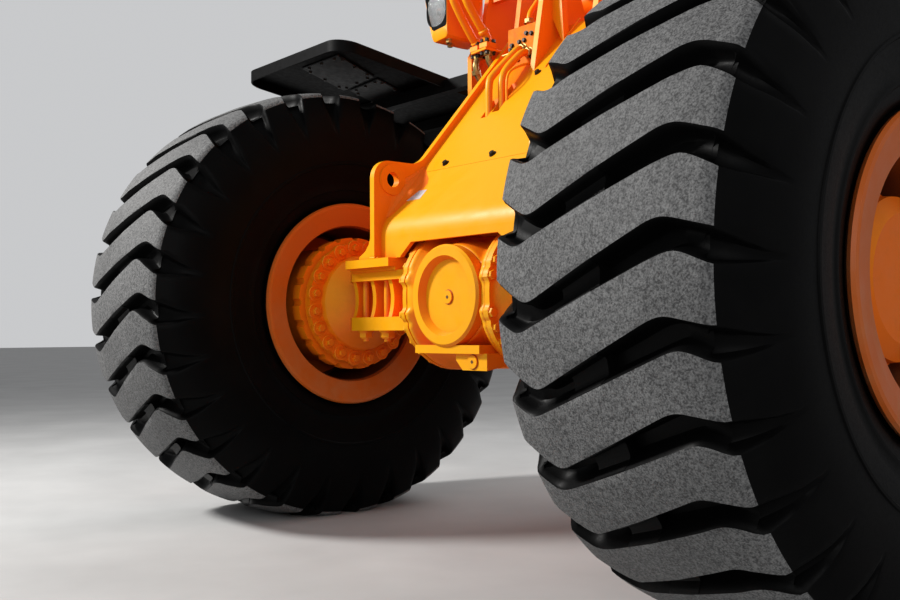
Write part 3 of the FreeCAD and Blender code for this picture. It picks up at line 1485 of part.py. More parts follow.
def line_fittings():
    """The flange blocks on the line plate, the couplings below it and the port block in the bay."""
    pieces = [side_box("port_block", -1, s.port_x, s.port_x + s.port_long, BAY_INNER, BAY_INNER + s.port_wide,
                       s.port_low, s.port_high)]
    for name, x, off, top, drop, low in LINES:
        y = BAY_INNER + off
        pieces.append(side_box(f"flange_{name}", -1, x - 30, x + 30, y - 26, y + 26,
                               s.line_plate_z + s.line_plate_thick, BLOCK_TOP))
        pieces.append(rod(f"coupling_{name}", s.coupling_radius, s.coupling_long,
                          (AXLE_X + x, -y, COUPLING_FOOT - s.hinge_height), "Z"))
    return compound("line_fittings", pieces)


keep(line_fittings())


# Steering lugs: a channel on each side plate with a vertical pin bore

def steering_lug(side, sign):
    body = new_body(f"steering_lug_{side}")
    sketch = new_sketch(body, f"lug_outline_{side}", "YZ_Plane", s.steer_x)
    root = BAY_INNER
    end = root + s.steer_lug_long
    t = s.plate_thick
    outline = ((root, s.steer_low), (end, s.steer_low), (end, s.steer_low + t),
               (root + t, s.steer_low + t), (root + t, s.steer_high - t), (end, s.steer_high - t),
               (end, s.steer_high), (root, s.steer_high))
    draw_outline(sketch, [(y * sign, z) for y, z in outline])
    pad(body, sketch, s.steer_half * 2)
    bore = new_sketch(body, f"lug_bore_{side}", "XY_Plane", s.steer_low)
    draw_circle(bore, s.steer_x, (root + s.steer_pin_off) * sign, s.steer_pin_radius)
    pocket(body, bore, s.steer_high)
    return machine_place(body)


for side, sign in SIDES:
    keep(steering_lug(side, sign))

# Write one STEP file for each finished piece
doc.recompute()
failed = [o.Name for o in doc.Objects if "Invalid" in o.State or "Error" in o.State]
failed += [p.Label for p in nodes if p.Shape.isNull() or not p.Shape.isValid()]
if failed:
    raise SystemExit("failed: " + ", ".join(failed))
os.makedirs("parts", exist_ok=True)
for piece in nodes:
    piece.Shape.exportStep(f"parts/{piece.Label}.step")
    print(piece.Label, len(piece.Shape.Solids), round(piece.Shape.Volume / 1e6, 2))
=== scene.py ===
import bpy
import bmesh
import json
import math
import random
from mathutils import Matrix, Vector, noise


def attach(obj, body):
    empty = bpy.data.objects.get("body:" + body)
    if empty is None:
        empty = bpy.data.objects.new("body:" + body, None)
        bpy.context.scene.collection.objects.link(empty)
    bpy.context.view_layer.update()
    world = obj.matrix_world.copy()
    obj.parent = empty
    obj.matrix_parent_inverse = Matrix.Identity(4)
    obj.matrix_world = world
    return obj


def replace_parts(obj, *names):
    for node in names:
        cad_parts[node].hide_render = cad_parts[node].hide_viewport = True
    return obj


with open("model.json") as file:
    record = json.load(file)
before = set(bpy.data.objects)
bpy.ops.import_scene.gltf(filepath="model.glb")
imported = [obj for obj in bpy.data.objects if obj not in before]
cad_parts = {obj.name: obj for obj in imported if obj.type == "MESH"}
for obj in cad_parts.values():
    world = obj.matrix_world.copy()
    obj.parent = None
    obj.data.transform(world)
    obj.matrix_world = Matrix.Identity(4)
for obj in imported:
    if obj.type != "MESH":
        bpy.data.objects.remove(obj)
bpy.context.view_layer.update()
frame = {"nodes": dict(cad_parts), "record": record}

random.seed(7)

# Places in the part's frame, metres: the axle, the ground, the wheels' middle planes
AXLE_X = 1.650
AXLE_Z = 0.202
GROUND = -0.640
HALF_TRACK = 1.1675
END_FACE = HALF_TRACK - 0.362
SIDES = (("left", 1), ("right", -1))


def at(x, y, z):
    """A point given ahead of the axle and above the ground."""
    return Vector((x + AXLE_X, y, z + GROUND))


# Camera at the photograph's place, solved from both wheels
LOOK = Vector((-0.64571, -0.76292, 0.03173))
RIGHT = Vector((-0.76341, 0.64589, -0.00561))
UP = Vector((0.01621, 0.02785, 0.99948))
cam_data = bpy.data.cameras.new("camera")
cam_data.lens = 41.464
cam_data.sensor_width = 36.0
cam_data.clip_start = 0.05
camera = bpy.data.objects.new("camera", cam_data)
turn = Matrix((RIGHT, UP, -LOOK)).transposed().to_4x4()
camera.matrix_world = Matrix.Translation(at(2.38990, 2.56365, 0.72121)) @ turn
bpy.context.scene.collection.objects.link(camera)
bpy.context.scene.camera = camera


# Light: a pale world, a soft key from the front left of the machine and a weak fill
def area_light(name, place, target, size, power, colour=(1, 1, 1)):
    data = bpy.data.lights.new(name, "AREA")
    data.shape = "DISK"
    data.size = size
    data.energy = power
    data.color = colour
    lamp = bpy.data.objects.new(name, data)
    lamp.location = place
    lamp.rotation_euler = (Vector(target) - Vector(place)).to_track_quat("-Z", "Y").to_euler()
    bpy.context.scene.collection.objects.link(lamp)


area_light("key", at(3.70, -3.46, 4.16), at(0.1, -0.1, 0.9), 1.0, 405, (1.0, 0.985, 0.96))
area_light("fill", at(3.4, 4.0, 2.6), at(0, 0.0, 0.9), 3.0, 50)
area_light("rim", at(-3.4, -1.2, 3.6), at(0, 0, 1.2), 2.5, 60)
world = bpy.data.worlds.new("studio")
bpy.context.scene.world = world
world.use_nodes = True
background = world.node_tree.nodes["Background"]
background.inputs["Color"].default_value = (0.97, 0.98, 1.0, 1)
light_path = world.node_tree.nodes.new("ShaderNodeLightPath")
seen = world.node_tree.nodes.new("ShaderNodeMapRange")
seen.inputs["To Min"].default_value = 0.34
seen.inputs["To Max"].default_value = 0.60
world.node_tree.links.new(light_path.outputs["Is Camera Ray"], seen.inputs["Value"])
world.node_tree.links.new(seen.outputs["Result"], background.inputs["Strength"])
bpy.context.scene.view_settings.view_transform = "Standard"


# Shader building blocks
class Nodes:
    """A material's node tree with short ways to add and join nodes."""

    def __init__(self, name):
        self.material = bpy.data.materials.new(name)
        self.material.use_nodes = True
        self.tree = self.material.node_tree
        self.shader = self.tree.nodes["Principled BSDF"]
        self.coords = self.tree.nodes.new("ShaderNodeTexCoord").outputs["Object"]

    def link(self, source, socket):
        self.tree.links.new(source, socket)

    def noise(self, scale, detail=4.0, rough=0.55, stretch=None):
        node = self.tree.nodes.new("ShaderNodeTexNoise")
        node.inputs["Scale"].default_value = scale
        node.inputs["Detail"].default_value = detail
        node.inputs["Roughness"].default_value = rough
        source = self.coords
        if stretch:
            mapping = self.tree.nodes.new("ShaderNodeMapping")
            mapping.inputs["Scale"].default_value = stretch
            self.link(self.coords, mapping.inputs["Vector"])
            source = mapping.outputs["Vector"]
        self.link(source, node.inputs["Vector"])
        return node.outputs["Fac"]

    def cells(self, scale):
        node = self.tree.nodes.new("ShaderNodeTexVoronoi")
        node.inputs["Scale"].default_value = scale
        self.link(self.coords, node.inputs["Vector"])
        return node.outputs["Distance"]

    def remap(self, source, low, high, to_low=0.0, to_high=1.0):
        node = self.tree.nodes.new("ShaderNodeMapRange")
        values = {"From Min": low, "From Max": high, "To Min": to_low, "To Max": to_high}
        for socket, value in values.items():
            node.inputs[socket].default_value = value
        self.link(source, node.inputs["Value"])
        return node.outputs["Result"]

    def math(self, kind, a, b):
        node = self.tree.nodes.new("ShaderNodeMath")
        node.operation = kind
        node.use_clamp = kind != "SUBTRACT"
        for socket, value in zip(node.inputs, (a, b)):
            if isinstance(value, (int, float)):
                socket.default_value = value
            else:
                self.link(value, socket)
        return node.outputs["Value"]

    def mix(self, share, a, b):
        node = self.tree.nodes.new("ShaderNodeMix")
        node.data_type = "RGBA"
        if isinstance(share, (int, float)):
            node.inputs["Factor"].default_value = share
        else:
            self.link(share, node.inputs["Factor"])
        for socket, value in ((node.inputs[6], a), (node.inputs[7], b)):
            if isinstance(value, tuple):
                socket.default_value = value + (1.0,)
            else:
                self.link(value, socket)
        return node.outputs[2]

    def bump(self, height, strength, distance):
        node = self.tree.nodes.new("ShaderNodeBump")
        node.inputs["Strength"].default_value = strength
        node.inputs["Distance"].default_value = distance
        self.link(height, node.inputs["Height"])
        self.link(node.outputs["Normal"], self.shader.inputs["Normal"])

    def edges(self, low=0.50, high=0.58):
        """Where the mesh turns outward, from Geometry's pointiness."""
        node = self.tree.nodes.new("ShaderNodeNewGeometry")
        return self.remap(node.outputs["Pointiness"], low, high)

    def facing(self, direction, low, high):
        """How far the surface turns toward a fixed direction of the world."""
        node = self.tree.nodes.new("ShaderNodeNewGeometry")
        dot = self.tree.nodes.new("ShaderNodeVectorMath")
        dot.operation = "DOT_PRODUCT"
        self.link(node.outputs["Normal"], dot.inputs[0])
        dot.inputs[1].default_value = direction
        return self.remap(dot.outputs["Value"], low, high)

    def openness(self, reach):
        """How open the surroundings of a point are: deep places between the pieces come out low."""
        node = self.tree.nodes.new("ShaderNodeAmbientOcclusion")
        node.samples = 6
        node.inputs["Distance"].default_value = reach
        return node.outputs["AO"]

    def height(self):
        node = self.tree.nodes.new("ShaderNodeSeparateXYZ")
        self.link(self.coords, node.inputs["Vector"])
        return node.outputs["Z"]


# painted shade: the deeper orange that stands in for shade on faces that turn away from the light at the front and in
# deep places between the pieces
PAINTED_SHADE_ORANGE = (0.94, 0.178, 0.004)


def paint(name, colour, shade, rough, dust_top=0.35, lit=(0.0, 0.50), hollow_shade=False):
    """Machine paint: slight tone drift, faint orange peel, road dust that gathers low down, and painted shade: a deeper
    orange on faces turned from the key light and in deep places, which the rim's paint swaps for a near-black brown in
    deep places only.
    """
    n = Nodes(name)
    drift = n.remap(n.noise(1.7, 3.0), 0.35, 0.65)
    base = n.mix(n.math("MULTIPLY", drift, 0.25), colour, shade)
    # painted shade: faces turned from the key light and deep places between the pieces take the deeper orange
    clear = n.math("MULTIPLY", n.facing((0.78, -0.38, 0.50), *lit), n.remap(n.openness(0.6), 0.42, 0.82))
    # painted shade: for the rim, the deep places between the pieces go near-black brown instead
    if hollow_shade:
        base = n.mix(n.remap(n.openness(0.30), 0.16, 0.46), (0.050, 0.014, 0.006), base)
    else:
        base = n.mix(clear, PAINTED_SHADE_ORANGE, base)
    dust = n.math("MULTIPLY", n.remap(n.height(), dust_top, -0.35), n.remap(n.noise(9.0, 7.0, 0.7), 0.42, 0.72))
    base = n.mix(n.math("MULTIPLY", dust, 0.35), base, (0.42, 0.30, 0.16))
    n.link(base, n.shader.inputs["Base Color"])
    n.link(n.remap(n.noise(14.0, 5.0), 0.3, 0.7, rough - 0.06, rough + 0.10), n.shader.inputs["Roughness"])
    n.shader.inputs["Specular IOR Level"].default_value = 0.22
    n.shader.inputs["Coat Weight"].default_value = 0.04
    n.shader.inputs["Coat Roughness"].default_value = 0.18
    n.bump(n.noise(160.0, 2.0), 0.05, 0.001)
    return n.material


def cast_paint(name, colour, shade):
    """Paint over sand castings: the same colour with a grainy skin, patches of grime, and painted shade, a deeper
    orange in the hollows and on faces turned from the key light.
    """
    n = Nodes(name)
    drift = n.remap(n.noise(2.4, 4.0), 0.35, 0.65)
    base = n.mix(n.math("MULTIPLY", drift, 0.3), colour, shade)
    # painted shade: faces turned from the key light and deep places between the pieces take the deeper orange
    clear = n.math("MULTIPLY", n.facing((0.78, -0.38, 0.50), -0.1, 0.50), n.remap(n.openness(0.6), 0.36, 0.74))
    base = n.mix(clear, PAINTED_SHADE_ORANGE, base)
    grime = n.math("MULTIPLY", n.remap(n.noise(16.0, 8.0, 0.7), 0.5, 0.78), 0.16)
    base = n.mix(grime, base, (0.30, 0.13, 0.03))
    n.link(base, n.shader.inputs["Base Color"])
    n.link(n.remap(n.noise(20.0, 5.0), 0.3, 0.7, 0.34, 0.52), n.shader.inputs["Roughness"])
    n.shader.inputs["Specular IOR Level"].default_value = 0.22
    n.shader.inputs["Coat Weight"].default_value = 0.03
    n.shader.inputs["Coat Roughness"].default_value = 0.3
    n.bump(n.noise(210.0, 4.0, 0.6), 0.22, 0.0012)
    return n.material


def rubber(name, worn):
    """Tyre rubber: black walls with a faint sheen, and grey gritty wear on the lug faces."""
    n = Nodes(name)
    base = n.mix(n.remap(n.noise(6.0, 5.0), 0.3, 0.7), (0.0014, 0.0014, 0.0015), (0.0030, 0.0030, 0.0031))
    grit = n.math("ADD", n.math("MULTIPLY", n.noise(230.0, 3.0, 0.6), 0.62),
                  n.math("MULTIPLY", n.noise(95.0, 3.0, 0.6), 0.38))
    if worn:
        tone = n.mix(n.remap(grit, 0.40, 0.60), (0.050, 0.050, 0.051), (0.205, 0.205, 0.205))
        base = n.mix(n.remap(n.noise(2.6, 2.0), 0.25, 0.55, 0.75, 1.0), base, tone)
    n.link(base, n.shader.inputs["Base Color"])
    n.link(n.remap(grit, 0.3, 0.7, 0.60 if worn else 0.34, 0.84 if worn else 0.52), n.shader.inputs["Roughness"])
    n.shader.inputs["Specular IOR Level"].default_value = 0.28 if worn else 0.05
    n.bump(grit, 0.65 if worn else 0.10, 0.0045 if worn else 0.001)
    return n.material


def plain(name, colour, other, rough, metal=0.0, scale=30.0, bump=0.05, gloss=0.5):
    n = Nodes(name)
    n.shader.inputs["Specular IOR Level"].default_value = gloss
    n.link(n.mix(n.remap(n.noise(scale, 6.0, 0.6), 0.35, 0.65), colour, other), n.shader.inputs["Base Color"])
    n.link(n.remap(n.noise(scale * 1.7, 4.0), 0.3, 0.7, rough - 0.07, rough + 0.09),
           n.shader.inputs["Roughness"])
    n.shader.inputs["Metallic"].default_value = metal
    n.bump(n.noise(scale * 5, 3.0), bump, 0.001)
    return n.material


def lens_glass():
    n = Nodes("lamp_glass_detail")
    n.link(n.remap(n.noise(60.0, 3.0), 0.3, 0.7, 0.03, 0.09), n.shader.inputs["Roughness"])
    n.shader.inputs["Base Color"].default_value = (0.93, 0.96, 0.97, 1)
    n.shader.inputs["Transmission Weight"].default_value = 0.85
    n.shader.inputs["IOR"].default_value = 1.45
    wave = n.tree.nodes.new("ShaderNodeTexWave")
    wave.bands_direction = "Y"
    wave.inputs["Scale"].default_value = 42.0
    n.link(n.coords, wave.inputs["Vector"])
    n.bump(wave.outputs["Fac"], 0.5, 0.004)
    return n.material


YELLOW = (0.94, 0.405, 0.003)
YELLOW_DEEP = (0.92, 0.355, 0.003)
ORANGE = (0.62, 0.125, 0.012)
ORANGE_DEEP = (0.50, 0.085, 0.010)
MATERIALS = {
    "frame_paint": paint("frame_paint_detail", YELLOW, YELLOW_DEEP, 0.36),
    "axle_paint": cast_paint("axle_paint_detail", YELLOW, YELLOW_DEEP),
    "rim_paint": paint("rim_paint_detail", ORANGE, ORANGE_DEEP, 0.36, dust_top=0.6, hollow_shade=True),
    "tyre_rubber": rubber("tyre_rubber_detail", False),
    "mudguard_black": plain("mudguard_black_detail", (0.0018, 0.0018, 0.0019), (0.0034, 0.0034, 0.0036), 0.46, gloss=0.05),
    "lamp_glass": lens_glass(),
    "plain_steel": plain("plain_steel_detail", (0.40, 0.38, 0.35), (0.26, 0.24, 0.21), 0.38, 0.9),
    "zinc_fittings": plain("zinc_fittings_detail", (0.52, 0.36, 0.12), (0.34, 0.22, 0.08), 0.36, 0.85),
}
WORN = rubber("tyre_worn_detail", True)

GUARD_TUBE = plain("guard_tube_detail", (0.0022, 0.0021, 0.0021), (0.0044, 0.0040, 0.0040), 0.5, gloss=0.06)
# painted shade: the ears' cast fillets are painted in the shaded paint's deeper orange right up to the slope
FILLET_PAINTED_SHADE = paint("ear_fillet_painted_shade", PAINTED_SHADE_ORANGE, (0.80, 0.130, 0.006), 0.56, lit=(0.72, 1.05))
# painted shadow: the valve block is painted a deep orange that stands in for the shadow falling on it from above
VALVE_PAINTED_SHADOW = plain("valve_painted_shadow", (0.82, 0.230, 0.004), (0.74, 0.170, 0.004), 0.6, gloss=0.12)
PAINTED_SHADE_NODES = {"ear_blends": FILLET_PAINTED_SHADE, "valve_block": VALVE_PAINTED_SHADOW}

slots = {part["node"]: part["material_slot"] for part in frame["record"]["subparts"]}
for node, obj in frame["nodes"].items():
    obj.data.materials.clear()
    own = GUARD_TUBE if node.startswith("mudguard_tubes") else PAINTED_SHADE_NODES.get(node)
    obj.data.materials.append(own or MATERIALS[slots[node]])


# Meshes: small helpers
def new_object(name, mesh, body, slot, *materials):
    obj = bpy.data.objects.new(name, mesh)
    bpy.context.scene.collection.objects.link(obj)
    for material in materials or (MATERIALS[slot],):
        mesh.materials.append(material)
    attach(obj, body)
    return obj


def finish_mesh(name, bm, smooth_angle=35):
    bmesh.ops.recalc_face_normals(bm, faces=bm.faces)
    mesh = bpy.data.meshes.new(name)
    bm.to_mesh(mesh)
    bm.free()
    mesh.shade_smooth()
    mesh.set_sharp_from_angle(angle=math.radians(smooth_angle))
    return mesh


def turned_pieces(name, body, slot, spots, profile, sides=28, material=None):
    """One mesh of turned shapes at (place, outward direction); the profile is (radius, level) pairs."""
    bm = bmesh.new()
    for place, outward in spots:
        turn = Vector(outward).to_track_quat("Z", "Y").to_matrix()
        rings = []
        for radius, level in profile:
            if radius < 1e-6:
                rings.append([bm.verts.new(Vector(place) + turn @ Vector((0, 0, level)))])
                continue
            rings.append([bm.verts.new(Vector(place) + turn @ Vector((
                radius * math.cos(math.tau * i / sides), radius * math.sin(math.tau * i / sides), level)))
                for i in range(sides)])
        for low, high in zip(rings, rings[1:]):
            for i in range(sides):
                k = (i + 1) % sides
                if len(low) == 1 and len(high) == 1:
                    continue
                if len(high) == 1:
                    bm.faces.new((low[i], low[k], high[0]))
                elif len(low) == 1:
                    bm.faces.new((low[0], high[k], high[i]))
                else:
                    bm.faces.new((low[i], low[k], high[k], high[i]))
    mesh = finish_mesh(name, bm, 30)
    return new_object(name, mesh, body, slot, material or MATERIALS[slot])


def slab(name, body, slot, corners, outward, thick, bevel, material=None):
    """A thin panel standing on a face: its corners in order, with bevelled edges."""
    bm = bmesh.new()
    normal = Vector(outward).normalized()
    corners = [Vector(c) for c in corners]
    middle = sum(corners, Vector()) / len(corners)
    rows = []
    for inset, level in ((bevel, 0.0), (0.0, bevel), (0.0, thick - bevel), (bevel, thick)):
        rows.append([bm.verts.new(c + (middle - c).normalized() * inset * 1.4 + normal * level) for c in corners])
    count = len(corners)
    for low, high in zip(rows, rows[1:]):
        for i in range(count):
            k = (i + 1) % count
            bm.faces.new((low[i], low[k], high[k], high[i]))
    bm.faces.new(rows[-1])
    bm.faces.new(list(reversed(rows[0])))
    mesh = finish_mesh(name, bm, 30)
    return new_object(name, mesh, body, slot, material or MATERIALS[slot])


def tube(name, body, slot, runs, material=None, sides=14, smooth=3):
    """Round tubes in one mesh: each run is a radius and its points, whose corners are eased."""
    bm = bmesh.new()
    for radius, points in runs:
        points = [Vector(p) for p in points]
        for _ in range(smooth):
            eased_points = [points[0]]
            for a, b in zip(points, points[1:]):
                eased_points += [a.lerp(b, 0.25), a.lerp(b, 0.75)]
            points = eased_points + [points[-1]]
        ahead = (points[1] - points[0]).normalized()
        side = ahead.orthogonal().normalized()
        rings = []
        for i, point in enumerate(points):
            ahead = (points[min(i + 1, len(points) - 1)] - points[max(i - 1, 0)]).normalized()
            side = (side - ahead * side.dot(ahead)).normalized()
            other = ahead.cross(side)
            rings.append([bm.verts.new(point + (side * math.cos(math.tau * k / sides)
                                                + other * math.sin(math.tau * k / sides)) * radius)
                          for k in range(sides)])
        for low, high in zip(rings, rings[1:]):
            for k in range(sides):
                m = (k + 1) % sides
                bm.faces.new((low[k], low[m], high[m], high[k]))
        bm.faces.new(list(reversed(rings[0])))
        bm.faces.new(rings[-1])
    mesh = finish_mesh(name, bm, 50)
    return new_object(name, mesh, body, slot, material or MATERIALS[slot])


def bead(name, body, slot, paths, size, material=None, ripple=0.0035):
    """Weld beads: rounded runs with ripples, in one mesh, along paths of points."""
    bm = bmesh.new()
    for path in paths:
        points = [Vector(p) for p in path]
        fine = []
        for a, b in zip(points, points[1:]):
            steps = max(2, int((b - a).length / ripple))
            fine += [a.lerp(b, k / steps) for k in range(steps)]
        fine.append(points[-1])
        rings = []
        for i, point in enumerate(fine):
            ahead = (fine[min(i + 1, len(fine) - 1)] - fine[max(i - 1, 0)]).normalized()
            side = ahead.orthogonal().normalized()
            other = ahead.cross(side)
            swell = size * (0.92 + 0.10 * math.sin(i * 1.9) + 0.05 * noise.noise(point * 40))
            if i in (0, len(fine) - 1):
                swell *= 0.35
            rings.append([bm.verts.new(point + (side * math.cos(math.tau * k / 8)
                                                + other * math.sin(math.tau * k / 8)) * swell) for k in range(8)])
        for low, high in zip(rings, rings[1:]):
            for k in range(8):
                m = (k + 1) % 8
                bm.faces.new((low[k], low[m], high[m], high[k]))
        bm.faces.new(rings[0])
        bm.faces.new(list(reversed(rings[-1])))
    mesh = finish_mesh(name, bm, 60)
    return new_object(name, mesh, body, slot, material or MATERIALS[slot])


# Tyres: carcass, lugs and grooves on one grid whose columns follow the groove edges
LUGS = 29
PITCH = math.tau / LUGS
# groove edges across the tread: metres from the wheel's middle, degrees round the tyre
FORE = ((-0.372, -9.6), (-0.169, -17.0), (0.181, -6.2), (0.372, -9.4))
AFT = ((-0.372, -15.6), (-0.205, -20.7), (0.214, -9.9), (0.372, -14.8))
# section from the middle of the tread to the bead: distance out, radius, groove depth, groove width
TREAD = ((0.0, 0.868), (0.150, 0.8645), (0.215, 0.8560), (0.262, 0.8455))
WALL = (
    (0.276, 0.8395, 0.040, 1.0), (0.284, 0.8290, 0.040, 1.0), (0.292, 0.8120, 0.038, 0.95),
    (0.303, 0.7890, 0.030, 0.82), (0.313, 0.7640, 0.021, 0.66), (0.321, 0.7360, 0.012, 0.48),
    (0.327, 0.7080, 0.006, 0.34), (0.331, 0.6820, 0.0, 0.25), (0.3345, 0.6560, 0.0, 0.2),
    (0.3362, 0.6250, 0.0, 0.2), (0.3360, 0.5950, 0.0, 0.2), (0.3345, 0.5660, 0.0, 0.2),
    (0.3375, 0.5630, 0.0, 0.2), (0.3375, 0.5560, 0.0, 0.2), (0.3330, 0.5525, 0.0, 0.2),
    (0.3295, 0.5300, 0.0, 0.2), (0.3220, 0.4950, 0.0, 0.2), (0.3150, 0.4700, 0.0, 0.2),
    (0.3165, 0.4640, 0.0, 0.2), (0.3160, 0.4540, 0.0, 0.2), (0.3110, 0.4500, 0.0, 0.2),
    (0.3060, 0.4250, 0.0, 0.2), (0.2990, 0.4090, 0.0, 0.2), (0.2900, 0.4030, 0.0, 0.2),
    (0.2815, 0.3950, 0.0, 0.2), (0.2810, 0.3370, 0.0, 0.2),
)
FLOOR_RADIUS = 0.8085
BAR_RADIUS = 0.8370
BAR_LOW, BAR_HIGH = -0.080, 0.022


def along(table, value):
    """Straight interpolation in a table of pairs."""
    for (a, u), (b, v) in zip(table, table[1:]):
        if value <= b:
            return u + (v - u) * (value - a) / (b - a)
    return table[-1][1]


def eased(table, value, reach):
    """The table with its corners rounded over a reach each way."""
    steps = [value + reach * (k / 4 - 1) for k in range(9)]
    weights = [1 - abs(k / 4 - 1) * 0.85 for k in range(9)]
    return sum(along(table, max(table[0][0], p)) * w for p, w in zip(steps, weights)) / sum(weights)


def tyre_rows():
    """Every row of the grid: distance out, radius, its outward normal, groove depth and width share."""
    tread = [i * 0.262 / 22 for i in range(23)]
    tread += [0.0215, 0.0225]
    right = sorted(set(tread))
    left = sorted({i * 0.262 / 22 for i in range(1, 23)} | {0.0795, 0.0805})
    rows = [(-y, along(TREAD, y)) for y in reversed(left)] + [(y, along(TREAD, y)) for y in right]
    out = []
    for y, r in rows:
        floor_r = BAR_RADIUS if BAR_LOW < y < BAR_HIGH else FLOOR_RADIUS
        out.append((y, r, (0.0, 1.0), r - floor_r, 1.0, True))
    walls = []
    for i, (y, r, depth, share) in enumerate(WALL):
        before = WALL[i - 1] if i else (TREAD[-1][0], TREAD[-1][1])
        after = WALL[min(i + 1, len(WALL) - 1)]
        step = Vector((after[0] - before[0], after[1] - before[1])).normalized()
        walls.append((y, r, (-step.y, step.x), depth, share, i < 2))
    out += walls
    mirrored = [(-y, r, (-n[0], n[1]), depth, share, top) for y, r, n, depth, share, top in walls]
    return list(reversed(mirrored)) + out


def tyre(side, sign):
    rows = tyre_rows()
    # columns: share of the way from the groove's aft edge, height share, metres of offset
    bm = bmesh.new()
    spin = Matrix.Rotation(0.0 if sign > 0 else math.pi, 3, "Z")
    centre = Vector((AXLE_X, HALF_TRACK * sign, AXLE_Z))
    grid = []
    tops = []
    for y, r, normal, depth, share, top in rows:
        fore = math.radians(eased(FORE, y, 0.035))
        aft = math.radians(eased(AFT, y, 0.035))
        middle = (fore + aft) / 2
        half = (fore - aft) / 2 * share
        wall = min(0.010 / r, half * 0.45)
        bevel = 0.0045 / r
        lug = PITCH - 2 * half
        columns = [
            (middle - half, 0.10, False), (middle - half + wall * 0.35, 0.45, False),
            (middle - half + wall * 0.8, 0.88, False), (middle - half + wall * 1.5, 1.0, False),
            (middle, 1.0, False),
            (middle + half - wall * 1.5, 1.0, False), (middle + half - wall * 0.8, 0.88, False),
            (middle + half - wall * 0.35, 0.45, False), (middle + half, 0.10, False),
            (middle + half + bevel, 0.0, True),
        ]
        columns += [(middle + half + bevel + (lug - 2 * bevel) * k / 6, 0.0, True) for k in range(1, 6)]
        columns.append((middle - half + PITCH - bevel, 0.0, True))
        line = []
        for lug_number in range(LUGS):
            for angle, sink, on_top in columns:
                drop = depth * sink
                radius = r - normal[1] * drop
                across = y - normal[0] * drop
                turned = angle + lug_number * PITCH
                point = Vector((radius * math.cos(turned), across, radius * math.sin(turned)))
                line.append(bm.verts.new(centre + spin @ point))
        grid.append(line)
        tops.append([on_top for angle, sink, on_top in columns])
    count = len(grid[0])
    columns_each = len(tops[0])
    for i in range(len(grid)):
        k = (i + 1) % len(grid)
        for j in range(count):
            m = (j + 1) % count
            face = bm.faces.new((grid[i][j], grid[i][m], grid[k][m], grid[k][j]))
            on_lug = tops[0][j % columns_each] and tops[0][m % columns_each]
            face.material_index = 1 if rows[i][5] and rows[k][5] and on_lug else 0
    mesh = finish_mesh(f"tyre_tread_{side}", bm, 40)
    obj = new_object(f"tyre_tread_{side}", mesh, f"wheel_{side}", "tyre_rubber", MATERIALS["tyre_rubber"], WORN)
    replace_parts(obj, f"tyre_{side}")


for side, sign in SIDES:
    tyre(side, sign)


# Fasteners: hexagon heads and washers gathered in one mesh per group
def hex_heads(name, body, slot, spots, size, height, washer=1.25, body_material=None):
    """Heads at (place, outward direction); size is the radius across corners."""
    bm = bmesh.new()
    for place, outward in spots:
        turn = Vector(outward).to_track_quat("Z", "Y").to_matrix()
        spin = Matrix.Rotation(random.uniform(0, math.pi / 3), 3, "Z")
        rings = []
        for radius, level, sides in ((size * washer, 0.0, 18), (size * washer, height * 0.18, 18)):
            rings.append([bm.verts.new(Vector(place) + turn @ Vector((
                radius * math.cos(math.tau * i / sides), radius * math.sin(math.tau * i / sides), level)))
                for i in range(sides)])
        for i in range(18):
            bm.faces.new((rings[0][i], rings[0][(i + 1) % 18], rings[1][(i + 1) % 18], rings[1][i]))
        bm.faces.new(rings[1])
        heads = []
        for radius, level in ((size, height * 0.18), (size, height * 0.88), (size * 0.86, height)):
            heads.append([bm.verts.new(Vector(place) + turn @ (spin @ Vector((
                radius * math.cos(math.tau * i / 6), radius * math.sin(math.tau * i / 6), level))))
                for i in range(6)])
        for low, high in zip(heads, heads[1:]):
            for i in range(6):
                bm.faces.new((low[i], low[(i + 1) % 6], high[(i + 1) % 6], high[i]))
        bm.faces.new(heads[-1])
    mesh = finish_mesh(name, bm, 25)
    return new_object(name, mesh, body, slot, body_material or MATERIALS[slot])



# Axle castings: a full drum that flares to the joint flanges, and arms that flare to meet them
AXLE = at(0, 0, 0.842)
NOTCHES = ((0, 0.2345), (9, 0.2355), (12, 0.2500), (17, 0.2500), (20.5, 0.2435), (24, 0.2500), (90, 0.2500))


def flange_edge(angle):
    """The joint flange's radius at an angle, with hollows between its foremost and rearmost bosses."""
    folded = abs((math.degrees(angle) + 90) % 180 - 90)
    return along(NOTCHES, folded)


def lathe(bm, rows, sides=180, full=True):
    """A shell about the axle's axis from (radius, y) rows; radius None follows the flange edge."""
    rings = []
    for radius, y in rows:
        ring = []
        for i in range(sides):
            a = math.tau * i / sides
            r = flange_edge(a) if radius is None else min(radius, flange_edge(a))
            ring.append(bm.verts.new(AXLE + Vector((r * math.cos(a), y, r * math.sin(a)))))
        rings.append(ring)
    for low, high in zip(rings, rings[1:]):
        for i in range(sides):
            k = (i + 1) % sides
            bm.faces.new((low[i], low[k], high[k], high[i]))
    if full:
        bm.faces.new(list(reversed(rings[0])))
        bm.faces.new(rings[-1])


def drum_along(bm, rows, axis, sides=96):
    """A closed shell about another axis through the axle's middle, from (radius, distance) rows."""
    turn = Vector(axis).to_track_quat("Z", "Y").to_matrix()
    rings = [[bm.verts.new(AXLE + turn @ Vector((r * math.cos(math.tau * i / sides),
                                                r * math.sin(math.tau * i / sides), d))) for i in range(sides)]
             for r, d in rows]
    for low, high in zip(rings, rings[1:]):
        for i in range(sides):
            k = (i + 1) % sides
            bm.faces.new((low[i], low[k], high[k], high[i]))
    bm.faces.new(list(reversed(rings[0])))
    bm.faces.new(rings[-1])


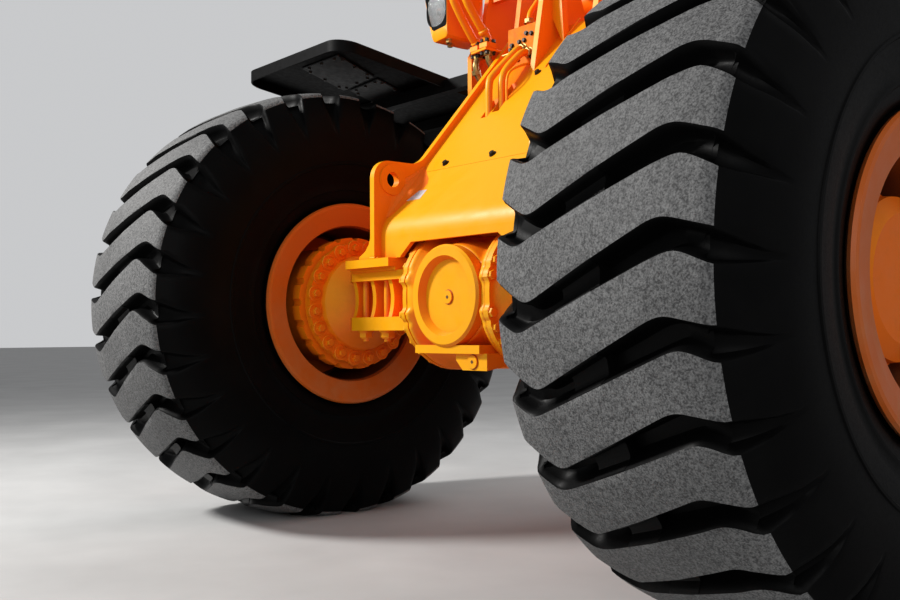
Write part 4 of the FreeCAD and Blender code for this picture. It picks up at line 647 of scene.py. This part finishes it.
def melted(bm, voxel, passes):
    """The shells joined and softened into one cast skin."""
    mesh = bpy.data.meshes.new("cast_work")
    bmesh.ops.recalc_face_normals(bm, faces=bm.faces)
    bm.to_mesh(mesh)
    bm.free()
    work = bpy.data.objects.new("cast_work", mesh)
    bpy.context.scene.collection.objects.link(work)
    remesh = work.modifiers.new("skin", "REMESH")
    remesh.mode = "VOXEL"
    remesh.voxel_size = voxel
    soften = work.modifiers.new("soften", "SMOOTH")
    soften.factor = 0.5
    soften.iterations = passes
    view = bpy.context.evaluated_depsgraph_get()
    out = bmesh.new()
    out.from_mesh(bpy.data.meshes.new_from_object(work.evaluated_get(view)))
    bpy.data.objects.remove(work)
    return out


def add_cad_faces(bm, node, keep):
    """Add the CAD piece's faces whose every corner passes the test, given ahead of the axle centre."""
    source = frame["nodes"][node]
    place = source.matrix_world
    points = [place @ v.co for v in source.data.vertices]
    made = {}
    for polygon in source.data.polygons:
        corners = [points[i] - AXLE for i in polygon.vertices]
        if all(keep(c) for c in corners):
            verts = [made.setdefault(i, bm.verts.new(points[i])) if i not in made else made[i]
                     for i in polygon.vertices]
            try:
                bm.faces.new(verts)
            except ValueError:
                continue


def axle_middle():
    bm = bmesh.new()
    lathe(bm, ((None, -0.212), (None, -0.194), (0.244, -0.190), (0.2285, -0.172), (0.216, -0.146), (0.208, -0.09),
               (0.2065, 0.0), (0.208, 0.07), (0.216, 0.118), (0.2285, 0.144), (0.244, 0.162), (None, 0.166),
               (None, 0.184)))
    drum_along(bm, ((0.186, 0.02), (0.184, 0.13), (0.172, 0.186), (0.168, 0.207)), (1, 0, 0))
    drum_along(bm, ((0.176, 0.02), (0.170, 0.2), (0.166, 0.2215)), (-1, 0, 0))
    drum_along(bm, ((0.140, 0.05), (0.134, 0.205), (0.126, 0.228), (0.108, 0.238), (0.08, 0.240)), (0, 0, -1))
    out = melted(bm, 0.0055, 4)
    add_cad_faces(out, "axle_centre", lambda c: c.x > 0.09 and -0.2401 < c.z < -0.1585 and abs(c.y) < 0.19)
    mesh = finish_mesh("axle_centre_cast", out, 40)
    obj = new_object("axle_centre_cast", mesh, "front_frame", "axle_paint")
    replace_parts(obj, "axle_centre")


def axle_arm(side, sign, inner):
    bm = bmesh.new()
    flare = ((None, inner), (None, inner + 0.020), (0.226, inner + 0.0205), (0.214, inner + 0.026),
             (0.203, inner + 0.040), (0.188, inner + 0.062), (0.166, inner + 0.090), (0.135, inner + 0.125),
             (0.105, inner + 0.165), (0.0905, inner + 0.205), (0.0902, inner + 0.24))
    lathe(bm, [(r, y * sign) for r, y in flare])
    add_cad_faces(bm, f"axle_arm_{side}", lambda c: abs(c.y) > inner + 0.028)
    mesh = finish_mesh(f"axle_arm_cast_{side}", bm, 32)
    obj = new_object(f"axle_arm_cast_{side}", mesh, "front_frame", "axle_paint")
    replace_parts(obj, f"axle_arm_{side}")


axle_middle()
axle_arm("left", 1, 0.1845)
axle_arm("right", -1, 0.2125)

# Nose: seam and slope bolts, the blank label, the plugs of the axle's cover and drain
SLOPE = Vector((0.75369, 0, 0.65722))
SEAM_FOOT = (0.032, 1.305)


def on_slope(x, y, lift=0.0):
    """A point of the nose's sloping face, or above it, from its place ahead of the axle."""
    return at(x, y, SEAM_FOOT[1] - (x - SEAM_FOOT[0]) * SLOPE.x / SLOPE.z) + SLOPE * lift


BOLT_DARK = plain("bolt_dark_detail", (0.030, 0.022, 0.016), (0.016, 0.012, 0.010), 0.4, 0.6)
LABEL = plain("blank_label_detail", (0.46, 0.44, 0.45), (0.62, 0.60, 0.61), 0.45, scale=60.0, bump=0.02)
hex_heads("slope_bolts", "front_frame", "plain_steel",
          [(on_slope(0.012, y), SLOPE) for y in (-0.265, -0.017, 0.231)]
          + [(on_slope(-0.286, -0.094), SLOPE), (on_slope(-0.286, 0.150), SLOPE)], 0.0105, 0.011, 1.3, BOLT_DARK)
slab("blank_label", "front_frame", "frame_paint",
     [on_slope(0.132, -0.362), on_slope(0.131, -0.266), on_slope(0.101, -0.262), on_slope(0.099, -0.370)],
     SLOPE, 0.0008, 0.0003, LABEL)

AXLE_FORE = Vector((1, 0, 0))
PLUG = ((0.0218, -0.004), (0.0218, 0.0052), (0.0210, 0.0059), (0.0, 0.0059))
PLUG_RING = ((0.0248, -0.004), (0.0248, 0.0011), (0.0, 0.0011))
plug_spots = [(at(0.2240, -0.0030, 0.8375), AXLE_FORE), (at(0.2195, 0.1115, 0.6291), AXLE_FORE)]
# painted shade: the darker orange ring round each plug and the dark square on it stand in for the shade in the groove
# round the plug and in its socket
SOCKET_PAINTED_SHADE = plain("socket_painted_shade", (0.10, 0.030, 0.010), (0.06, 0.018, 0.008), 0.6)
GROOVE_PAINTED_SHADE = plain("plug_groove_painted_shade", (0.46, 0.110, 0.012), (0.34, 0.075, 0.010), 0.6)
turned_pieces("axle_plugs", "front_frame", "axle_paint", plug_spots, PLUG)
turned_pieces("plug_rings", "front_frame", "axle_paint", plug_spots, PLUG_RING, 36, GROOVE_PAINTED_SHADE)
turned_pieces("plug_sockets", "front_frame", "plain_steel", [(p + AXLE_FORE * 0.0056, o) for p, o in plug_spots],
              ((0.0066, 0.0), (0.0066, 0.0010), (0.0, 0.0010)), 4, SOCKET_PAINTED_SHADE)

# Axle joints: hexagon heads on the bosses of the two joint flanges, arm side
JOINTS = (("left", 1, 0.2048), ("right", -1, -0.2328))
joint_spots = []
for side, sign, y in JOINTS:
    for angle in (14.4, 26.6, 38.8, 51.0, 63.2, 75.4):
        for turned_by in (angle, 180 - angle, 180 + angle, 360 - angle):
            a = math.radians(turned_by)
            joint_spots.append((at(0.2340 * math.cos(a), y, 0.842 + 0.2340 * math.sin(a)), (0, sign, 0)))
hex_heads("joint_bolts", "front_frame", "axle_paint", joint_spots, 0.0155, 0.014, 1.12)

# Wheel ends: flanged heads on the axle side of the spindle flanges
end_spots = []
for side, sign in SIDES:
    for number in range(20):
        a = math.radians(9 + 18 * number)
        end_spots.append((at(0.2196 * math.cos(a), END_FACE * sign, 0.842 + 0.2196 * math.sin(a)), (0, -sign, 0)))
LOBE = ((0.0300, -0.012), (0.0300, 0.0030), (0.0280, 0.0050), (0.0235, 0.0050), (0.0228, 0.0036), (0.0, 0.0036))
turned_pieces("wheel_end_lobes", "front_frame", "axle_paint", end_spots, LOBE, 26)
hex_heads("wheel_end_bolts", "front_frame", "axle_paint",
          [(place + Vector(outward) * 0.0036, outward) for place, outward in end_spots], 0.0150, 0.0175, 1.25)

# Pads: the studs' washers and nuts under the pad feet
nut_spots = [(at(x, y * sign, 0.7312), (0, 0, -1)) for x in (-0.165, 0.165) for y in (0.412, 0.541) for sign in (1, -1)]
turned_pieces("stud_washers", "front_frame", "axle_paint", nut_spots,
              ((0.0300, -0.004), (0.0300, 0.0052), (0.0288, 0.0064), (0.0, 0.0064)), 28)
hex_heads("stud_nuts", "front_frame", "axle_paint",
          [(place + Vector((0, 0, -0.0060)), down) for place, down in nut_spots], 0.0262, 0.0215, 1.0)

# Mudguards: the inner panels with their screws, seen from below
GUARD_PANEL = plain("guard_panel_detail", (0.0085, 0.0085, 0.0090), (0.0135, 0.0135, 0.0140), 0.36, gloss=0.16)
GUARD_SCREW = plain("guard_screw_detail", (0.060, 0.058, 0.056), (0.030, 0.029, 0.028), 0.4, 0.5)
PANEL_FORE = ((0.018, 1.214, 1.8634), (0.019, 0.938, 1.8636), (-0.224, 1.018, 1.8283), (-0.255, 1.295, 1.8239))
PANEL_BACK = ((-0.271, 1.270, 1.8216), (-0.248, 1.029, 1.8249), (-0.498, 1.093, 1.7886), (-0.570, 1.353, 1.7782))
GUARD_DOWN = Vector((0.144, 0, -0.99))
for side, sign in SIDES:
    screws = []
    for part, corners in (("fore", PANEL_FORE), ("back", PANEL_BACK)):
        placed = [at(x, y * sign, z) for x, y, z in corners]
        slab(f"guard_panel_{part}_{side}", "front_frame", "mudguard_black", placed, GUARD_DOWN, 0.007, 0.003,
             GUARD_PANEL)
        middle = sum(placed, Vector()) / 4
        for i in range(4):
            for share in (0.12, 0.5, 0.88):
                spot = placed[i].lerp(placed[(i + 1) % 4], share)
                screws.append((spot.lerp(middle, 0.10) + GUARD_DOWN * 0.0065, GUARD_DOWN))
    hex_heads(f"guard_screws_{side}", "front_frame", "mudguard_black", screws, 0.0075, 0.006, 1.35, GUARD_SCREW)


# Lamps: a shell that narrows downward, a black surround, and a bowl with its bulb behind the glass
LAMP_MIDDLE = (0.647, 2.034)
CASE_CORNERS = ((0.579, 2.118), (0.579, 1.916), (0.590, 1.906), (0.662, 1.899), (0.674, 1.908), (0.690, 1.960),
                (0.722, 2.085), (0.722, 2.112), (0.716, 2.118))
LENS_WIDTH, LENS_HEIGHT = 0.0600, 0.0715
TURNS = 72


def outline_reach(corners, angle):
    """How far a closed outline lies from the lamp's middle at an angle."""
    ray = Vector((math.cos(angle), math.sin(angle)))
    for a, b in zip(corners, corners[1:] + corners[:1]):
        a = Vector(a) - Vector(LAMP_MIDDLE)
        b = Vector(b) - Vector(LAMP_MIDDLE)
        edge = b - a
        across = ray.x * edge.y - ray.y * edge.x
        if abs(across) < 1e-9:
            continue
        reach = (a.x * edge.y - a.y * edge.x) / across
        share = (a.x * ray.y - a.y * ray.x) / across
        if reach > 0 and -1e-9 <= share <= 1 + 1e-9:
            return reach
    return 0.07


def lens_reach(angle):
    return 1 / ((abs(math.cos(angle)) / LENS_WIDTH) ** 2.5 + (abs(math.sin(angle)) / LENS_HEIGHT) ** 2.5) ** 0.4


def lamp_piece(name, slot, sign, rings, material=None, closed=True):
    """A lamp piece from rings: outline or lens shape, its share of full size, and the level ahead of the axle."""
    bm = bmesh.new()
    rows = []
    for shape, share, x in rings:
        row = []
        for i in range(TURNS):
            a = math.tau * i / TURNS
            r = (lens_reach(a) if shape == "lens" else outline_reach(shape, a)) * share
            place = at(x, (LAMP_MIDDLE[0] + r * math.cos(a)) * sign, LAMP_MIDDLE[1] + r * math.sin(a))
            row.append(bm.verts.new(place))
        rows.append(row)
    for low, high in zip(rows, rows[1:]):
        for i in range(TURNS):
            k = (i + 1) % TURNS
            bm.faces.new((low[i], low[k], high[k], high[i]))
    if closed:
        bm.faces.new(rows[0])
        bm.faces.new(rows[-1])
    mesh = finish_mesh(name, bm, 40)
    return new_object(name, mesh, "front_frame", slot, material or MATERIALS[slot])


SURROUND = plain("lamp_surround_detail", (0.003, 0.003, 0.003), (0.006, 0.006, 0.006), 0.6, gloss=0.03)
BLACK_CORNERS = ((0.583, 2.116), (0.583, 1.962), (0.590, 1.954), (0.664, 1.947), (0.676, 1.956), (0.718, 2.085),
                 (0.718, 2.110), (0.712, 2.116))
BOWL = plain("lamp_bowl_detail", (0.88, 0.88, 0.87), (0.62, 0.62, 0.62), 0.16, 1.0, scale=24.0, bump=0.35)
for side, sign in SIDES:
    case = lamp_piece(f"lamp_case_{side}", "frame_paint", sign, (
        (CASE_CORNERS, 0.80, -0.468), (CASE_CORNERS, 0.93, -0.460), (CASE_CORNERS, 0.99, -0.440),
        (CASE_CORNERS, 1.0, -0.410), (CASE_CORNERS, 1.0, -0.274), (CASE_CORNERS, 0.985, -0.2665),
        (CASE_CORNERS, 0.955, -0.2640), ("lens", 1.02, -0.2640),
        ("lens", 1.02, -0.300)))
    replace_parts(case, f"lamp_housing_{side}")
    surround = lamp_piece(f"lamp_surround_{side}", "mudguard_black", sign, (
        (BLACK_CORNERS, 1.0, -0.2655), (BLACK_CORNERS, 0.99, -0.2628), ("lens", 1.03, -0.2622),
        ("lens", 0.98, -0.2628),
        ("lens", 0.97, -0.2700), ("lens", 1.015, -0.2700)), SURROUND, False)
    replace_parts(surround, f"lamp_bezel_{side}")
    lamp_piece(f"lamp_bowl_{side}", "plain_steel", sign, (
        ("lens", 1.03, -0.2680), ("lens", 0.98, -0.2740), ("lens", 0.84, -0.2850), ("lens", 0.60, -0.2930),
        ("lens", 0.30, -0.2970), ("lens", 0.16, -0.2975)), BOWL, False)
    turned_pieces(f"lamp_bulb_{side}", "front_frame", "plain_steel", [(at(-0.298, 0.647 * sign, 2.020), (1, 0, 0))],
                  ((0.0135, 0.0), (0.0135, 0.010), (0.0105, 0.013), (0.0105, 0.022), (0.006, 0.027), (0.0, 0.028)), 20)
    glass = lamp_piece(f"lamp_glass_{side}", "lamp_glass", sign, (
        ("lens", 0.975, -0.2690), ("lens", 0.975, -0.2655), ("lens", 0.7, -0.2640), ("lens", 0.3, -0.2632)))
    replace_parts(glass, f"lamp_lens_{side}")
    hex_heads(f"lamp_knobs_{side}", "front_frame", "zinc_fittings",
              [(at(-0.292, 0.604 * sign, 1.9065), (0, 0, -1)), (at(-0.330, 0.640 * sign, 1.9040), (0, 0, -1))],
              0.0125, 0.016, 1.1)

# Lines on the machine's right: plate, flange blocks, tubes with weld collars, elbows and their lower runs
LINE_A, LINE_B = (-0.362, -0.503), (-0.352, -0.436)
plate_corners = [at(x, y, 1.830) for x, y in ((-0.460, -0.588), (-0.405, -0.588), (-0.330, -0.512), (-0.318, -0.412),
                                               (-0.460, -0.412))]
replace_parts(slab("line_shelf", "front_frame", "frame_paint", plate_corners, (0, 0, 1), 0.010, 0.0015), "line_plate")
fittings = []
bolts = []
for number, (x, y) in enumerate((LINE_A, LINE_B)):
    corners = [at(x + u, y + v, 1.840) for u, v in ((-0.026, -0.022), (0.026, -0.022), (0.026, 0.022), (-0.026, 0.022))]
    slab(f"flange_block_{number}", "front_frame", "frame_paint", corners, (0, 0, 1), 0.026, 0.004)
    for u in (-0.017, 0.017):
        for v in (-0.014, 0.014):
            bolts.append((at(x + u, y + v, 1.866), (0, 0, 1)))
            bolts.append((at(x + u, y + v, 1.830), (0, 0, -1)))
    fittings.append((at(x, y, 1.8295), (0, 0, -1)))
hex_heads("flange_bolts", "front_frame", "plain_steel", bolts, 0.0088, 0.013, 1.15, BOLT_DARK)
ELBOW_A = ((-0.362, 1.832), (-0.352, 1.806), (-0.345, 1.786), (-0.352, 1.757), (-0.3696, 1.7334), (-0.4018, 1.706),
           (-0.455, 1.680), (-0.560, 1.672))
ELBOW_B = ((-0.352, 1.832), (-0.352, 1.812), (-0.358, 1.790), (-0.3843, 1.7628), (-0.430, 1.735), (-0.560, 1.700))
lines_low = tube("line_elbows", "front_frame", "zinc_fittings",
                 [(0.0125, [at(x, LINE_A[1], z) for x, z in ELBOW_A]), (0.0125, [at(x, LINE_B[1], z) for x, z in ELBOW_B])])
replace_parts(lines_low, "lower_lines")
coupling = hex_heads("line_couplings", "front_frame", "zinc_fittings", fittings, 0.0205, 0.016, 1.05)
hex_heads("elbow_nuts", "front_frame", "zinc_fittings",
          [(at(-0.349, LINE_A[1], 1.768), Vector((-0.25, 0, -1))), (at(-0.372, LINE_B[1], 1.776), Vector((-0.8, 0, -1)))],
          0.0185, 0.020, 1.0)
port_corners = [at(-0.600, y, z) for y, z in ((-0.412, 1.640), (-0.562, 1.640), (-0.562, 1.720), (-0.412, 1.720))]
port = slab("port_block_lines", "front_frame", "zinc_fittings", port_corners, (1, 0, 0), 0.040, 0.004)
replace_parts(port, "line_fittings")
TUBE_A = ((-0.362, 1.862), (-0.352, 1.878), (-0.3386, 1.8860), (-0.3072, 1.9240), (-0.2759, 1.9640), (-0.2451, 2.0077),
          (-0.2260, 2.0400), (-0.2260, 2.110), (-0.275, 2.158), (-0.400, 2.160), (-0.5140, 2.160))
TUBE_B = ((-0.352, 1.862), (-0.348, 1.884), (-0.3427, 1.8953), (-0.3112, 1.9252), (-0.2800, 1.9627), (-0.2491, 1.9998),
          (-0.2320, 2.0300), (-0.2320, 2.080), (-0.285, 2.118), (-0.400, 2.120), (-0.5140, 2.120))
tubes = tube("line_tubes", "front_frame", "frame_paint",
             [(0.0165, [at(x, LINE_A[1], z) for x, z in TUBE_A]), (0.0165, [at(x, LINE_B[1], z) for x, z in TUBE_B])],
             sides=18, smooth=2)
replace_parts(tubes, "tower_lines")
COLLAR = ((0.0170, -0.010), (0.0205, -0.006), (0.0215, 0.0), (0.0205, 0.006), (0.0170, 0.010))
collar_spots = [(at(-0.330, LINE_B[1], 1.9060), Vector((0.70, 0, 0.74))), (at(-0.349, LINE_A[1], 1.8800), Vector((0.8, 0, 0.6)))]
turned_pieces("line_collars", "front_frame", "frame_paint", collar_spots, COLLAR, 24)

# Nose pipes: from the slots in the cover up to the valve block, and the return line behind them
FRONT_PIPE = ((-0.166, 1.400), (-0.169, 1.532), (-0.168, 1.643), (-0.190, 1.673), (-0.288, 1.764), (-0.318, 1.792),
              (-0.3485, 1.796))
BACK_PIPE = ((-0.200, 1.400), (-0.205, 1.570), (-0.203, 1.650), (-0.221, 1.690), (-0.283, 1.749), (-0.312, 1.772),
             (-0.3485, 1.776))
RETURN = ((-0.3840, 1.900), (-0.3830, 1.925), (-0.3900, 1.948), (-0.4209, 1.9848), (-0.4486, 2.0240), (-0.490, 2.062),
          (-0.560, 2.080), (-0.6660, 2.080))
THIN = ((-0.3485, 1.722), (-0.3000, 1.722), (-0.2235, 1.6869), (-0.2031, 1.6615), (-0.1977, 1.6276), (-0.1990, 1.560))
pipes = tube("valve_pipes", "front_frame", "frame_paint",
             [(0.0140, [at(x, -0.232, z) for x, z in FRONT_PIPE]), (0.0140, [at(x, -0.200, z) for x, z in BACK_PIPE]),
              (0.0105, [at(x, -0.235, z) for x, z in RETURN]), (0.0050, [at(x, -0.168, z) for x, z in THIN])],
             sides=18)
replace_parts(pipes, "nose_pipes")
valve_face = [(at(-0.348, y, z), AXLE_FORE) for y, z in ((-0.300, 1.806), (-0.292, 1.822), (-0.252, 1.8275), (-0.225, 1.829),
                                                        (-0.214, 1.8534), (-0.187, 1.8474), (-0.188, 1.760),
                                                        (-0.262, 1.762))]
hex_heads("valve_screws", "front_frame", "plain_steel", valve_face, 0.0078, 0.009, 1.2, BOLT_DARK)
hex_heads("valve_ports", "front_frame", "zinc_fittings",
          [(at(-0.348, -0.232, 1.796), AXLE_FORE), (at(-0.348, -0.200, 1.776), AXLE_FORE),
           (at(-0.384, -0.235, 1.902), (0, 0, 1))], 0.0195, 0.018, 1.08)
strip = [at(-0.3485, y, z) for y, z in ((-0.335, 1.7875), (-0.262, 1.7900), (-0.262, 1.7935), (-0.335, 1.7910))]
slab("valve_strip", "front_frame", "zinc_fittings", strip, AXLE_FORE, 0.016, 0.0008)

# Welds: runs at the tilt plates' feet and at the ears' feet
FOOT_TOP = 0.9865
weld_paths = []
for sign in (1, -1):
    for y in (0.0695, 0.1565):
        weld_paths.append([on_slope(x, y * sign, 0.001) for x in (-0.300, -0.36, -0.42, -0.49)])
    for y in (0.3795, 0.4145):
        weld_paths.append([at(0.236, y * sign, FOOT_TOP), at(0.10, y * sign, FOOT_TOP), at(0.0, y * sign, FOOT_TOP)])
    weld_paths.append([at(0.2415, 0.380 * sign, FOOT_TOP), at(0.2415, 0.414 * sign, FOOT_TOP)])
bead("frame_welds", "front_frame", "frame_paint", weld_paths, 0.0048)

# Floor: plain and pale
floor_mesh = bpy.data.meshes.new("floor")
edge = 60
floor_mesh.from_pydata([(-edge, -edge, GROUND), (edge, -edge, GROUND), (edge, edge, GROUND), (-edge, edge, GROUND)],
                       [], [(0, 1, 2, 3)])
floor = bpy.data.objects.new("floor", floor_mesh)
bpy.context.scene.collection.objects.link(floor)
floor_look = Nodes("floor_pale")
tone = floor_look.remap(floor_look.noise(2.0, 6.0), 0.3, 0.7)
floor_look.link(floor_look.mix(tone, (0.46, 0.46, 0.458), (0.54, 0.54, 0.537)), floor_look.shader.inputs["Base Color"])
floor_look.link(floor_look.remap(tone, 0, 1, 0.75, 0.88), floor_look.shader.inputs["Roughness"])
floor_mesh.materials.append(floor_look.material)
